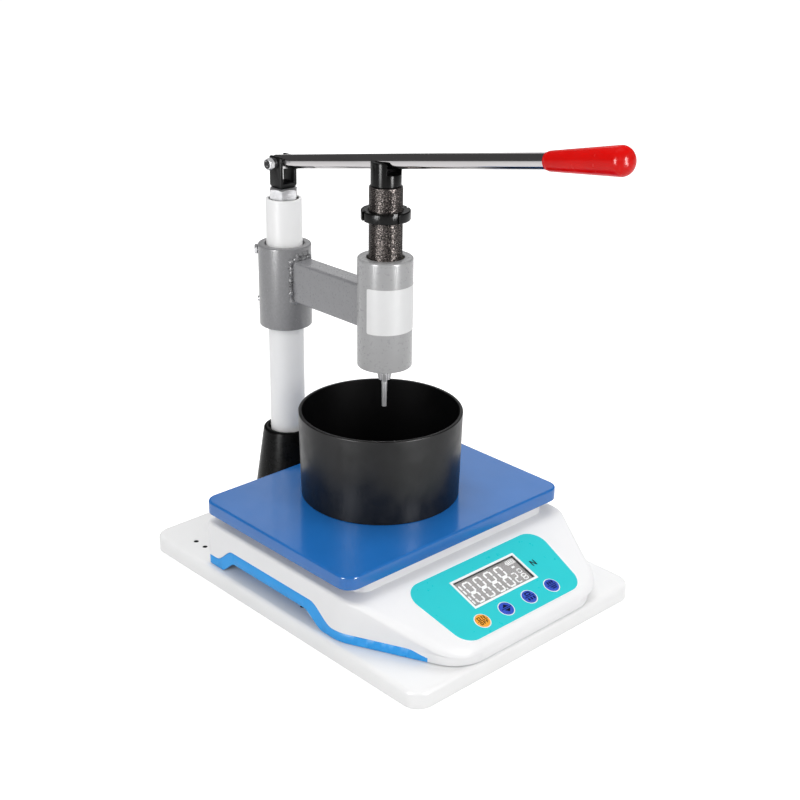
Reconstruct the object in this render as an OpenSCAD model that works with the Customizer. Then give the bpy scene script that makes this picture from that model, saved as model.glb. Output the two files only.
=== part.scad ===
// Mortar setting-time tester: a hand lever on a post presses a needle into a cup that stands on a scale.
// Millimetres. X to the right, Y to the back, Z up. The origin is the middle of the base plate's underside.

/* [Base plate] */
// Width of the base plate, left to right
base_w = 272; // [262:1:320]
// Depth of the base plate, front to back
base_d = 368; // [364:1:420]
// Height of the base plate's folded edge
base_h = 16; // [14:0.5:24]
// Thickness of the base plate's sheet
base_sheet = 2.5; // [1.5:0.1:3]
// Radius of the base plate's corners in plan
base_corner_r = 16; // [8:1:30]
// Radius of the base plate's folded top edge
base_edge_r = 4; // [3.2:0.1:7]
// Width of the channel welded under the base plate
stiffener_w = 26; // [20:1:30]
// Diameter of the side holes
side_hole_d = 5; // [3:0.5:6]
// Distance between the left and right side holes
side_hole_span = 231; // [225:1:235]
// Pitch of the two side holes of a pair
side_hole_pitch = 14.2; // [10:0.1:20]
// Distance of the rear pairs behind the base plate's centre
side_hole_rear = 135.3; // [128:0.1:150]
// Distance of the front pairs before the base plate's centre
side_hole_front = 24.5; // [24:0.1:34]

/* [Post] */
// Distance of the post's axis from the base plate's rear edge
post_inset = 40.4; // [38:0.1:44]
// Outside diameter of the post
post_d = 33.7; // [32:0.1:36]
// Wall of the post
post_wall = 2.6; // [2.5:0.1:3.6]
// Length of the post above the base plate
post_len = 316; // [310:1:330]
// Height of the socket round the post's foot
socket_h = 88; // [60:1:110]
// Wall of the socket at its top
socket_top_wall = 5.2; // [4.5:0.1:8]
// Wall of the socket at its foot
socket_foot_wall = 18.5; // [14:0.5:20]
// Gap between the post and the socket's open mouth
socket_mouth_gap = 2.7; // [1:0.1:3.4]
// Depth of the socket's open mouth
socket_mouth_depth = 7; // [3:0.5:12]
// Diameter of the screws that hold the socket
socket_screw_d = 6; // [5:1:8]
// Depth of those screws in the socket
socket_screw_depth = 14; // [10:1:20]
// Depth of the plug below the post's rim
plug_recess = 1; // [0.5:0.1:3]
// Length of the plug
plug_len = 26; // [22:1:40]

/* [Clevis] */
// Width of the lock nut across its flats
lock_nut_af = 24; // [20:0.5:24]
// Height of the lock nut
lock_nut_h = 10.5; // [8:0.5:14]
// Turn of the lock nut round the post
lock_nut_turn = 46; // [0:1:59]
// Diameter of the clevis shank
clevis_shank_d = 14; // [10:1:16]
// Depth of the shank in the plug
clevis_shank_in = 18; // [12:1:21]
// Depth of the clevis block, front to back
clevis_d = 17; // [14:0.5:20]
// Thickness of each clevis ear
clevis_ear = 2.7; // [2:0.1:5]
// Height of the clevis block under its slot
clevis_floor = 5; // [4.5:0.5:10]
// Height of the pivot above the slot's floor
pivot_rise = 18.7; // [15:0.1:20]
// Height of the ears above the pivot
ear_rise = 5.8; // [5:0.1:8]
// Slope of the block's lower edges
clevis_chamfer = 4; // [2:0.5:5]
// Diameter of the pivot bolt
pivot_d = 5; // [4.5:0.5:6.5]
// Thickness of the pivot washers
washer_t = 1.8; // [0.8:0.1:2]
// Length of bolt that stands out past its nut
bolt_end = 3; // [1:0.5:6]

/* [Bracket] */
// Distance from the post's axis to the spindle's axis
reach = 138.8; // [132:0.1:146]
// Height of the collar's lower end above the base plate
collar_lift = 194; // [185:0.1:200]
// Height of the collar
collar_h = 79; // [72:0.5:90]
// Wall of the collar
collar_wall = 8.1; // [5:0.1:10]
// Width of the arm
arm_w = 20; // [10:0.1:24]
// Height of the arm
arm_h = 39.5; // [30:0.5:42]
// Height of the arm above the collar's lower end
arm_lift = 28.5; // [20:0.5:30]
// Depth of the sleeve's lower end under the arm
sleeve_drop = 30.5; // [26:0.5:33]
// Height of the sleeve
sleeve_h = 99; // [92:0.5:104]
// Wall of the sleeve
sleeve_wall = 8.2; // [6:0.1:12]
// Wall of the spindle bushes
bush_wall = 1.4; // [1:0.1:2.5]
// Length of each bush
bush_len = 22; // [15:1:30]
// Depth of the bushes inside the sleeve's ends
bush_inset = 4; // [2:0.5:8]
// Diameter of the two collar screws
collar_screw_d = 5; // [4:0.5:6]
// Distance of the upper collar screw below the collar's top
collar_screw_top = 6.6; // [5.5:0.1:12]
// Pitch of the two collar screws
collar_screw_pitch = 48.5; // [40:0.5:52]
// Turn of the collar screws round the post
collar_screw_turn = 135; // [100:1:170]

/* [Spindle] */
// Diameter of the spindle
spindle_d = 29.5; // [28:0.1:32]
// Length of the spindle with its fork
spindle_len = 168; // [164:0.5:172]
// Diameter of the fork's neck
fork_d = 26.5; // [24:0.5:27]
// Length of the fork's neck
fork_len = 21; // [20:0.5:28]
// Gap on each side of the lever in the fork
fork_side_gap = 1.9; // [0.3:0.1:2.2]
// Diameter of the fork pin
fork_pin_d = 3; // [2.5:0.1:3.2]
// Distance of the fork pin below the lever's axis
fork_pin_drop = 3; // [2.6:0.1:3.2]
// Height of the ears above the fork pin
fork_pin_cover = 3.5; // [3:0.1:6]
// Depth of the slot under the fork pin
fork_slot_depth = 7; // [6:0.1:8]
// Stroke left under the stop nut
stop_gap = 33; // [20:0.5:34]
// Diameter of the stop nut
stop_nut_d = 43; // [40:0.5:48]
// Height of the stop nut
stop_nut_h = 8.7; // [6:0.1:12]
// Depth of the stop nut's spanner slots
stop_slot_depth = 2.6; // [1.5:0.1:4]
// Width of the stop nut's spanner slots
stop_slot_w = 5; // [3:0.5:7]
// Diameter of the chuck body
chuck_d = 26; // [24:0.5:28]
// Length of the chuck body
chuck_len = 22.5; // [20:0.5:26]
// Diameter of the chuck's stub in the spindle
chuck_stub_d = 12; // [8:0.5:16]
// Length of that stub
chuck_stub_len = 14; // [10:1:20]
// Diameter across the jaws
jaw_span = 12.4; // [11:0.1:14]
// Width of one jaw
jaw_w = 2.8; // [2:0.1:3.4]
// Length of jaw that stands out of the chuck
jaw_show = 7; // [4:0.5:10]
// Length of jaw inside the chuck
jaw_in = 12; // [8:0.5:14]
// Diameter of the needle's shank
needle_d = 5; // [4:0.1:6.2]
// Diameter of the needle's tip
needle_tip_d = 4.4; // [3:0.1:6]
// Length of needle below the jaws
needle_show = 24.8; // [18:0.1:40]

/* [Lever] */
// Diameter of the lever bar
lever_d = 13; // [11:0.1:14]
// Upward tilt of the lever at rest
lever_tilt = 9.95; // [8:0.05:11]
// Length of the lever behind the pivot
lever_tail = 19.6; // [14:0.2:24]
// Distance from the pivot to the handle
handle_start = 320.8; // [280:0.1:340]
// Length of the handle
handle_len = 78.5; // [72:0.5:110]
// Largest diameter of the handle
handle_d = 22.7; // [20:0.1:28]
// Diameter of the handle where the bar enters
handle_neck_d = 15.7; // [15:0.1:18]
// Depth of the bar in the handle
handle_bore = 62; // [40:1:64]

/* [Scale case] */
// Distance of the case's rear wall from the post's axis
scale_gap = 40.6; // [38:0.1:46]
// Height of the scale's feet
scale_foot_h = 2; // [1.9:0.1:4]
// Width of the case
case_w = 260; // [258:0.5:264]
// Distance of the case's rear wall behind the scale's centre
case_rear = 103; // [102:0.5:105]
// Distance of the case's front wall before the scale's centre
case_front = 183; // [181.5:0.5:184]
// Distance before the scale's centre where the sides start to taper
case_taper_start = 82.4; // [78:0.1:88]
// Angle of the tapering sides
case_taper = 25.2; // [22:0.1:27]
// Height of the case from its underside to its ledge
case_h = 42; // [40:0.5:48]
// Wall of the case
case_wall = 2.5; // [2.1:0.1:3]
// Height of the joint line above the case's underside
parting_h = 4; // [3.2:0.1:6]
// Radius of the case's front corners
case_front_r = 36; // [24:1:44]
// Tilt of the front panel
panel_tilt = 19.3; // [17:0.1:20.5]
// Distance before the scale's centre where the front panel starts
slope_start = 105; // [104:0.5:108]
// Width of the neck under the tray
neck_w = 232; // [226:1:240]
// Depth of the neck under the tray
neck_d = 186; // [182:1:190]
// Height of the neck above the ledge
neck_h = 15; // [13:0.5:17]
// Radius of the neck's corners
neck_r = 14; // [8:1:20]
// Height of the finger recess above the case's underside
recess_h = 9.5; // [8:0.5:11]
// Depth of the finger recess
recess_depth = 24; // [18:0.5:25]
// Distance of the recess's rear end behind the scale's centre
recess_rear = 79; // [74:0.5:80]
// Distance of the recess's front end before the scale's centre
recess_front = 57; // [50:0.5:60]
// Length of the slope at the recess's rear end
recess_rear_ramp = 13; // [8:0.5:18]
// Length of the slope at the recess's front end
recess_front_ramp = 19; // [10:0.5:24]

/* [Trim] */
// Thickness of the side trim, let into the case
trim_t = 2; // [1.2:0.1:2.4]
// Gap between the trim and the base plate
trim_gap = 0.5; // [0.3:0.1:1.5]
// Height of the trim's low stretches above the case's underside
trim_low = 6.5; // [5:0.1:8]
// Height of the trim's raised stretch above the case's underside
trim_high = 20; // [16:0.5:24]
// Distance of the trim's front tip before the scale's centre
trim_tip = 150; // [140:0.5:156]
// Length of the trim's slanting tip
trim_tip_len = 15; // [8:0.5:20]
// Height of the trim's tip above the case's underside
trim_tip_h = 2; // [1:0.1:4]

/* [Panel] */
// Width of the panel overlay at its top
overlay_top_w = 168.5; // [150:0.5:172]
// Width of the panel overlay at its bottom
overlay_bottom_w = 146.5; // [136:0.5:150]
// Shift of the overlay's edges to the right of the display
overlay_shift = -1.2; // [-2:0.1:2]
// Length of the overlay down the slope
overlay_len = 74; // [73:0.5:76]
// Distance of the overlay's top edge below the start of the slope
overlay_top_gap = 3.6; // [3:0.1:5]
// Corner radius of the overlay
overlay_r = 17; // [8:0.5:20]
// Thickness of the overlay
overlay_t = 0.5; // [0.3:0.05:1]
// Width of the visible display
lcd_w = 75; // [65:0.5:78]
// Height of the visible display
lcd_h = 29.5; // [24:0.5:30]
// Distance of the display's centre above the overlay's centre
lcd_up = 6.6; // [6.2:0.1:8]
// Border of the window under the overlay
window_border = 2; // [1.5:0.1:2.4]
// Thickness of the window
window_t = 2; // [1:0.1:2.1]
// Thickness of the display module
lcd_t = 5.5; // [5:0.1:7]
// Diameter of a key
key_d = 13.6; // [9:0.1:15]
// Pitch of the keys
key_pitch = 29; // [26:0.1:30]
// Distance of the keys' row below the overlay's centre
key_down = 23.1; // [22.4:0.1:24]
// Height of a key above the overlay
key_rise = 0.8; // [0.6:0.1:1.5]
// Travel of a key
key_travel = 0.5; // [0.3:0.05:0.7]

/* [Tray] */
// Width of the tray
tray_w = 263; // [258:0.5:270]
// Depth of the tray
tray_d = 199.4; // [197:0.1:204]
// Height of the tray's rim
tray_rim_h = 12; // [9:0.1:13]
// Thickness of the tray's sheet
tray_sheet = 1.5; // [1:0.1:2]
// Corner radius of the tray
tray_corner_r = 13; // [8:0.5:26]
// Radius of the tray's folded edge
tray_edge_r = 2.5; // [2.2:0.1:4]
// Height of the tray's rim above the ledge
tray_lift = 12.4; // [11:0.1:14]
// Shift of the tray to the right on its pads
tray_shift_x = -3.9; // [-7:0.1:5]
// Shift of the tray to the back on its pads
tray_shift_y = -0.4; // [-2:0.1:2]

/* [Container] */
// Inside diameter of the container at its rim
cup_bore = 140; // [120:1:150]
// Wall of the container
cup_wall = 3.1; // [2.5:0.1:5]
// Inside depth of the container
cup_depth = 75.6; // [65:0.1:77]
// Thickness of the container's floor
cup_floor = 5; // [3:0.1:6]
// How much the container's radius shrinks to its foot
cup_draft = 1.2; // [0:0.1:2]
// Shift of the container to the right of the spindle
cup_shift_x = -2; // [-8:0.1:8]
// Shift of the container behind the spindle
cup_shift_y = 2; // [-8:0.1:8]

/* [Hidden] */
$fn = 64;

// Radial clearance of pieces that stay together
fit_gap = 0.05;
// Radial clearance of pieces that turn or slide on each other
run_gap = 0.05;
// Extra length that lets a cut pass right through a face
cut = 1;
// Points on each rounded corner of an outline
corner_steps = 8;

// Heights above the underside
post_top = base_h + post_len;
plug_top = post_top - plug_recess;
clevis_bottom = plug_top + lock_nut_h;
clevis_slot_floor = clevis_bottom + clevis_floor;
pivot_z = clevis_slot_floor + pivot_rise;
clevis_top = pivot_z + ear_rise;
collar_bottom = base_h + collar_lift;
arm_bottom = collar_bottom + arm_lift;
sleeve_bottom = arm_bottom - sleeve_drop;
sleeve_top = sleeve_bottom + sleeve_h;

// Post and clevis
post_back = base_d / 2 - post_inset;
post_bore = post_d - 2 * post_wall;
post_seat_d = post_d + 2 * fit_gap;
socket_top_d = post_seat_d + 2 * socket_top_wall;
socket_foot_d = post_seat_d + 2 * socket_foot_wall;
socket_screw_r = (post_seat_d + socket_foot_wall) / 2;
socket_head_h = 4;
collar_d = post_seat_d + 2 * collar_wall;
collar_screw_high = collar_bottom + collar_h - collar_screw_top;
collar_screw_z = [collar_screw_high, collar_screw_high - collar_screw_pitch];
clevis_side_gap = 0.3;
clevis_slot_w = lever_d + 2 * clevis_side_gap;
clevis_w = clevis_slot_w + 2 * clevis_ear;
hex_af_ratio = 1.667;
bolt_head_h = 0.68 * pivot_d;
nut_h = 0.84 * pivot_d;
washer_d = 2 * pivot_d;

// Spindle, from the lever down
spindle_y = post_back - reach;
fork_pin_z = pivot_z + reach * tan(lever_tilt) - fork_pin_drop / cos(lever_tilt);
fork_top = fork_pin_z + fork_pin_cover;
fork_floor = fork_pin_z - fork_slot_depth;
fork_bottom = fork_top - fork_len;
fork_slot_w = lever_d + 2 * fork_side_gap;
fork_pin_play = 0.3;
spindle_bottom = fork_top - spindle_len;
chuck_bottom = spindle_bottom - chuck_len;
jaw_tip = chuck_bottom - jaw_show;
needle_tip = jaw_tip - needle_show;
jaw_bore_d = jaw_span + 0.6;
jaw_tip_inset = 0.9;
bush_bore = spindle_d + 2 * run_gap;
bush_d = bush_bore + 2 * bush_wall;
sleeve_bore = bush_d + 2 * fit_gap;
sleeve_d = sleeve_bore + 2 * sleeve_wall;
stop_nut_bottom = sleeve_top + stop_gap;
stop_slots = 4;
stop_chamfer = 1;

// Fork pin in the lever's own directions: its place along the bar at rest and with the lever level
pin_rest_y = -(reach * cos(lever_tilt) + (fork_pin_z - pivot_z) * sin(lever_tilt));
pin_level_y = -reach;

// Scale case
scale_y = post_back - scale_gap - case_rear;
case_bottom = base_h + scale_foot_h;
case_floor_top = case_bottom + case_wall;
parting_z = case_bottom + parting_h;
ledge_z = case_bottom + case_h;
neck_top = ledge_z + neck_h;
case_front_half = case_w / 2 - (case_front - case_taper_start) * tan(case_taper);
case_loop = [[case_w / 2, case_rear], [-case_w / 2, case_rear], [-case_w / 2, -case_taper_start],
  [-case_front_half, -case_front], [case_front_half, -case_front], [case_w / 2, -case_taper_start]];
case_rear_r = 6;
case_bend_r = 40;
case_radii = [case_rear_r, case_rear_r, case_bend_r, case_front_r, case_front_r, case_bend_r];
side_wall = case_wall + trim_t;
recess_top = case_bottom + recess_h;
recess_x = case_w / 2 - recess_depth;
profile_over = 20;
slope_drop = (case_front + profile_over - slope_start) * tan(panel_tilt);
case_profile = [[case_rear + profile_over, ledge_z], [-slope_start, ledge_z],
  [-case_front - profile_over, ledge_z - slope_drop], [-case_front - profile_over, -profile_over],
  [case_rear + profile_over, -profile_over]];
recess_loop = [[recess_rear + profile_over, -profile_over], [recess_rear, case_bottom],
  [recess_rear - recess_rear_ramp, recess_top], [-recess_front + recess_front_ramp, recess_top],
  [-recess_front, case_bottom], [-recess_front - profile_over, -profile_over]];
boss_d = 9;
case_screw_d = 3.4;
case_screw_in = 12;
case_screw_head_h = 1.6;
case_screw_rear = [case_w / 2 - 15, case_rear - 12];
case_screw_front = [case_front_half, -case_front + 33];
scale_foot_d = 18;
scale_foot_rear = [85, 82];
scale_foot_front = [55, -140];

// Side trim
trim_foot = base_h + trim_gap;
trim_rear = case_rear - 3;
trim_rise = 13;
trim_fall = 25;
trim_loop = [[trim_rear, trim_foot], [trim_rear, case_bottom + trim_low],
  [recess_rear + 9, case_bottom + trim_low], [recess_rear + 9 - trim_rise - 2, case_bottom + trim_high],
  [-recess_front + recess_front_ramp - 2, case_bottom + trim_high],
  [-recess_front + recess_front_ramp - 2 - trim_fall, case_bottom + trim_low],
  [-trim_tip + trim_tip_len, case_bottom + trim_low], [-trim_tip, case_bottom + trim_tip_h],
  [-trim_tip, trim_foot], [-recess_front, trim_foot], [-recess_front + recess_front_ramp, recess_top],
  [recess_rear - recess_rear_ramp, recess_top], [recess_rear, trim_foot]];

// Panel, in its own directions: u to the right, v up the slope, n out of the face
overlay_v = overlay_top_gap + overlay_len / 2;
panel_y = -slope_start - overlay_v * cos(panel_tilt);
panel_z = ledge_z - overlay_v * sin(panel_tilt);
overlay_loop = [[overlay_shift + overlay_top_w / 2, overlay_len / 2],
  [overlay_shift - overlay_top_w / 2, overlay_len / 2],
  [overlay_shift - overlay_bottom_w / 2, -overlay_len / 2],
  [overlay_shift + overlay_bottom_w / 2, -overlay_len / 2]];
overlay_radii = [overlay_r, overlay_r, overlay_r, overlay_r];
window_gap = 0.15;
window_w = lcd_w + 2 * window_border;
window_h = lcd_h + 2 * window_border;
lcd_frame = 3;
board_n = -case_wall - lcd_t;
board_t = 1.6;
board_w = 116;
board_top_v = lcd_up + window_h / 2 + lcd_frame + 3.7;
board_bottom_v = -key_down - 10.3;
standoff_d = 7;
standoff_u = board_w / 2 - 4;
standoff_v = [-10, 24];
board_screw_d = 2.5;
key_flange_d = key_d + 3;
key_flange_t = 1.2;
key_flange_gap = 0.1;
key_flange_n = -case_wall - key_flange_gap;
key_spare = 0.05;
switch_top = key_flange_n - key_flange_t - key_travel - key_spare;
switch_w = 6;
key_u = [for (i = [-1.5, -0.5, 0.5, 1.5]) i * key_pitch];
jack_x = -60;
jack_z = parting_z + 14;
jack_d = 8;
jack_bezel_d = 11;
jack_len = 12;
jack_bore = 5.5;

// Load cell, spider and battery
cell_w = 30;
cell_len = 130;
cell_h = 22;
cell_lift = 6;
cell_bottom = case_floor_top + cell_lift;
cell_top = cell_bottom + cell_h;
cell_hole_d = 15;
cell_hole_shift = 6;
cell_seat = 40;
cell_screw_d = 6;
cell_screw_head_d = 10;
cell_screw_head_h = 4;
cell_screw_in = 12;
cell_screw_y = [44, 56];
spider_gap = 4;
spider_bottom = cell_top + spider_gap;
spider_t = 8;
spider_bar_w = 18;
spider_pad_x = 90;
spider_pad_y = 65;
spider_angle = atan2(spider_pad_y, spider_pad_x);
spider_reach = norm([spider_pad_x, spider_pad_y]);
stud_d = 12;
stud_hole_d = 22;
pad_d = 16;
pad_t = 3;
battery_size = [60, 70, 28];
battery_corner = [cell_w / 2 + 20, 14];

// Tray and container
tray_top = ledge_z + tray_lift + tray_rim_h;
pad_top = tray_top - tray_sheet;
stud_top = pad_top - pad_t;
cup_top_d = cup_bore + 2 * cup_wall;
cup_h = cup_depth + cup_floor;
cup_x = cup_shift_x;
cup_y = spindle_y + cup_shift_y;

// Outline helpers
function unit(v) = v / norm(v);
function left_of(a, b) = let (d = unit(b - a)) [-d[1], d[0]];
function before(p, i) = p[(i + len(p) - 1) % len(p)];
function after(p, i) = p[(i + 1) % len(p)];
function inset_point(a, b, c, d) = let (m = left_of(a, b), n = left_of(b, c)) b + (m + n) * d / (1 + m * n);
function inset_loop(p, d) = [for (i = [0 : len(p) - 1]) inset_point(before(p, i), p[i], after(p, i), d)];
function turn(v, a) = [v[0] * cos(a) - v[1] * sin(a), v[0] * sin(a) + v[1] * cos(a)];
function corner_arc(a, b, c, r) =
  let (
    bend = acos(unit(b - a) * unit(c - b)),
    centre = b - unit(b - a) * r * tan(bend / 2) + left_of(a, b) * r
  )
  [for (k = [0 : corner_steps]) centre - r * turn(left_of(a, b), bend * k / corner_steps)];
function round_loop(p, radii) =
  [for (i = [0 : len(p) - 1]) each corner_arc(before(p, i), p[i], after(p, i), radii[i])];
function case_plan(d) = round_loop(inset_loop(case_loop, d), [for (r = case_radii) r - d]);

// Shape helpers
module rounded_rect(w, d, r) {
  square([w - 2 * r, d], center = true);
  square([w, d - 2 * r], center = true);
  for (x = [-1, 1], y = [-1, 1])
    translate([x * (w / 2 - r), y * (d / 2 - r)])
      circle(r);
}

module edge_section(reach_out, h, r) {
  square([reach_out, h - r]);
  square([reach_out - r, h]);
  translate([reach_out - r, h - r])
    circle(r);
}

module soft_slab(w, d, h, corner_r, edge_r) {
  translate([-w / 2 + corner_r, -d / 2 + corner_r, 0])
    cube([w - 2 * corner_r, d - 2 * corner_r, h]);
  for (x = [-1, 1], y = [-1, 1])
    translate([x * (w / 2 - corner_r), y * (d / 2 - corner_r), 0])
      rotate_extrude()
        edge_section(corner_r, h, edge_r);
  for (s = [-1, 1]) {
    translate([s * (w / 2 - corner_r), s * (d / 2 - corner_r), 0])
      rotate([90, 0, 90 - s * 90])
        linear_extrude(d - 2 * corner_r)
          edge_section(corner_r, h, edge_r);
    translate([-s * (w / 2 - corner_r), s * (d / 2 - corner_r), 0])
      rotate([90, 0, s * 90])
        linear_extrude(w - 2 * corner_r)
          edge_section(corner_r, h, edge_r);
  }
}

module hexagon(af, h) {
  cylinder(d = af / cos(30), h = h, $fn = 6);
}

module ring(outer, inner, h) {
  difference() {
    cylinder(d = outer, h = h);
    translate([0, 0, -cut])
      cylinder(d = inner, h = h + 2 * cut);
  }
}

module across_x(loop, x0, x1) {
  translate([x0, 0, 0])
    rotate([90, 0, 90])
      linear_extrude(x1 - x0)
        polygon(loop);
}

module at_post() {
  translate([0, post_back, 0])
    children();
}

module at_spindle() {
  translate([0, spindle_y, 0])
    children();
}

module at_lever() {
  translate([0, post_back, pivot_z])
    rotate([-lever_tilt, 0, 0])
      children();
}

module at_scale() {
  translate([0, scale_y, 0])
    children();
}

module on_panel() {
  translate([0, panel_y, panel_z])
    rotate([panel_tilt, 0, 0])
      children();
}

module both_sides() {
  for (x = [-1, 1])
    scale_side(x)
      children();
}

module scale_side(x) {
  if (x > 0) children();
  else mirror([1, 0, 0]) children();
}

// Base and post
module side_holes() {
  for (x = [-1, 1], y = [side_hole_rear, -side_hole_front], s = [-1, 1])
    translate([x * side_hole_span / 2, y + s * side_hole_pitch / 2, 0])
      cylinder(d = side_hole_d, h = base_h + cut);
}

module socket_screw_places() {
  at_post()
    for (a = [45 : 90 : 315])
      rotate([0, 0, a])
        translate([socket_screw_r, 0, 0])
          children();
}

module base_plate() {
  color("#ececec")
    difference() {
      soft_slab(base_w, base_d, base_h, base_corner_r, base_edge_r);
      translate([0, 0, -cut])
        soft_slab(base_w - 2 * base_sheet, base_d - 2 * base_sheet, base_h - base_sheet + cut,
          base_corner_r - base_sheet, base_edge_r - base_sheet);
      side_holes();
      socket_screw_places()
        cylinder(d = socket_screw_d + 2 * fit_gap, h = base_h + cut);
    }
}

module base_stiffener() {
  length = base_w - 2 * base_edge_r - 2 * fit_gap;
  inner_w = stiffener_w - 2 * base_sheet;
  color("#dcdcdc")
    difference() {
      translate([-length / 2, -stiffener_w / 2, 0])
        cube([length, stiffener_w, base_h - base_sheet]);
      translate([-length / 2 - cut, -inner_w / 2, base_sheet])
        cube([length + 2 * cut, inner_w, base_h]);
    }
}

module post_socket() {
  color("#161616")
    difference() {
      at_post()
        difference() {
          translate([0, 0, base_h])
            cylinder(d1 = socket_foot_d, d2 = socket_top_d, h = socket_h);
          cylinder(d = post_seat_d, h = base_h + socket_h + cut);
          translate([0, 0, base_h + socket_h - socket_mouth_depth])
            cylinder(d = post_seat_d + 2 * socket_mouth_gap, h = socket_mouth_depth + cut);
        }
      socket_screw_places()
        cylinder(d = socket_screw_d + 2 * fit_gap, h = base_h + socket_screw_depth + fit_gap);
    }
}

module post_socket_screws() {
  color("#8a8a8a")
    socket_screw_places()
      union() {
        translate([0, 0, base_h - base_sheet - socket_head_h])
          hexagon(hex_af_ratio * socket_screw_d, socket_head_h);
        translate([0, 0, base_h - base_sheet - socket_head_h])
          cylinder(d = socket_screw_d, h = socket_head_h + base_sheet + socket_screw_depth);
      }
}

module post_tube() {
  color("#e8e8e8")
    at_post()
      translate([0, 0, base_h])
        ring(post_d, post_bore, post_len);
}

module post_plug() {
  color("#d4d4d4")
    at_post()
      translate([0, 0, plug_top - plug_len])
        ring(post_bore - 2 * fit_gap, clevis_shank_d + 2 * fit_gap, plug_len);
}

module lock_nut() {
  color("#b9b9bb")
    at_post()
      translate([0, 0, plug_top])
        difference() {
          rotate([0, 0, lock_nut_turn])
            hexagon(lock_nut_af, lock_nut_h);
          translate([0, 0, -cut])
            cylinder(d = clevis_shank_d + 2 * fit_gap, h = lock_nut_h + 2 * cut);
        }
}

// Clevis and pivot
module clevis_section(w) {
  polygon([[-w / 2 + clevis_chamfer / 2, clevis_bottom], [w / 2 - clevis_chamfer / 2, clevis_bottom],
    [w / 2, clevis_bottom + clevis_chamfer], [w / 2, clevis_top], [-w / 2, clevis_top],
    [-w / 2, clevis_bottom + clevis_chamfer]]);
}

module clevis() {
  color("#1b1b1b")
    at_post() {
      difference() {
        intersection() {
          translate([0, clevis_d, 0])
            rotate([90, 0, 0])
              linear_extrude(2 * clevis_d)
                clevis_section(clevis_w);
          translate([-clevis_w, 0, 0])
            rotate([90, 0, 90])
              linear_extrude(2 * clevis_w)
                clevis_section(clevis_d);
        }
        translate([-clevis_slot_w / 2, -clevis_d, clevis_slot_floor])
          cube([clevis_slot_w, 2 * clevis_d, clevis_top]);
        translate([-clevis_w, 0, pivot_z])
          rotate([0, 90, 0])
            cylinder(d = pivot_d + 2 * fit_gap, h = 2 * clevis_w);
      }
      translate([0, 0, plug_top - clevis_shank_in])
        cylinder(d = clevis_shank_d, h = clevis_shank_in + lock_nut_h);
    }
}

module along_pivot(x) {
  translate([x, post_back, pivot_z])
    rotate([0, 90, 0])
      children();
}

module pivot_bolt() {
  head_x = clevis_w / 2 + washer_t;
  end_x = -clevis_w / 2 - washer_t - nut_h - bolt_end;
  color("#b4b4b6") {
    along_pivot(head_x)
      hexagon(hex_af_ratio * pivot_d, bolt_head_h);
    along_pivot(end_x)
      cylinder(d = pivot_d, h = head_x - end_x);
  }
}

module pivot_washers() {
  color("#a8a8aa")
    for (x = [-clevis_w / 2 - washer_t, clevis_w / 2])
      along_pivot(x)
        ring(washer_d, pivot_d + 2 * fit_gap, washer_t);
}

module pivot_nut() {
  color("#b4b4b6")
    along_pivot(-clevis_w / 2 - washer_t - nut_h)
      difference() {
        hexagon(hex_af_ratio * pivot_d, nut_h);
        translate([0, 0, -cut])
          cylinder(d = pivot_d + 2 * fit_gap, h = nut_h + 2 * cut);
      }
}

// Bracket
module at_collar_screw(z) {
  at_post()
    translate([0, 0, z])
      rotate([0, 0, collar_screw_turn])
        rotate([0, 90, 0])
          children();
}

module post_collar() {
  color("#8c8c8e")
    difference() {
      at_post()
        translate([0, 0, collar_bottom])
          ring(collar_d, post_seat_d, collar_h);
      for (z = collar_screw_z)
        at_collar_screw(z)
          cylinder(d = collar_screw_d + 2 * fit_gap, h = collar_d);
    }
}

module collar_screws() {
  seat = post_seat_d / 2;
  head = 0.6 * collar_screw_d;
  screw_end = 1.5;
  color("#9a9a9c") {
    for (z = collar_screw_z)
      at_collar_screw(z)
        translate([0, 0, seat])
          cylinder(d = collar_screw_d, h = collar_d / 2 - seat + screw_end);
    at_collar_screw(collar_screw_high)
      translate([0, 0, collar_d / 2 + fit_gap])
        hexagon(hex_af_ratio * collar_screw_d, head);
  }
}

module arm() {
  color("#8c8c8e")
    difference() {
      translate([-arm_w / 2, spindle_y, arm_bottom])
        cube([arm_w, reach, arm_h]);
      at_post()
        cylinder(d = collar_d, h = 2 * arm_bottom);
      at_spindle()
        cylinder(d = sleeve_d, h = 2 * arm_bottom);
    }
}

module spindle_sleeve() {
  color("#8c8c8e")
    at_spindle()
      translate([0, 0, sleeve_bottom])
        ring(sleeve_d, sleeve_bore, sleeve_h);
}

module spindle_bushes() {
  color("#a98f52")
    at_spindle()
      for (z = [sleeve_bottom + bush_inset, sleeve_top - bush_inset - bush_len])
        translate([0, 0, z])
          ring(bush_d, bush_bore, bush_len);
}

// Lever
module lever_bar() {
  slot_h = fork_pin_d + 2 * fork_pin_play;
  slot_len = abs(pin_rest_y - pin_level_y) + slot_h;
  color("#202020")
    at_lever()
      difference() {
        translate([0, lever_tail, 0])
          rotate([90, 0, 0])
            cylinder(d = lever_d, h = lever_tail + handle_start + handle_bore);
        translate([-lever_d, 0, 0])
          rotate([0, 90, 0])
            cylinder(d = pivot_d + 2 * run_gap, h = 2 * lever_d);
        translate([-lever_d, pin_rest_y - slot_h / 2, -fork_pin_drop - slot_h / 2])
          cube([2 * lever_d, slot_len, slot_h]);
      }
}

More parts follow.
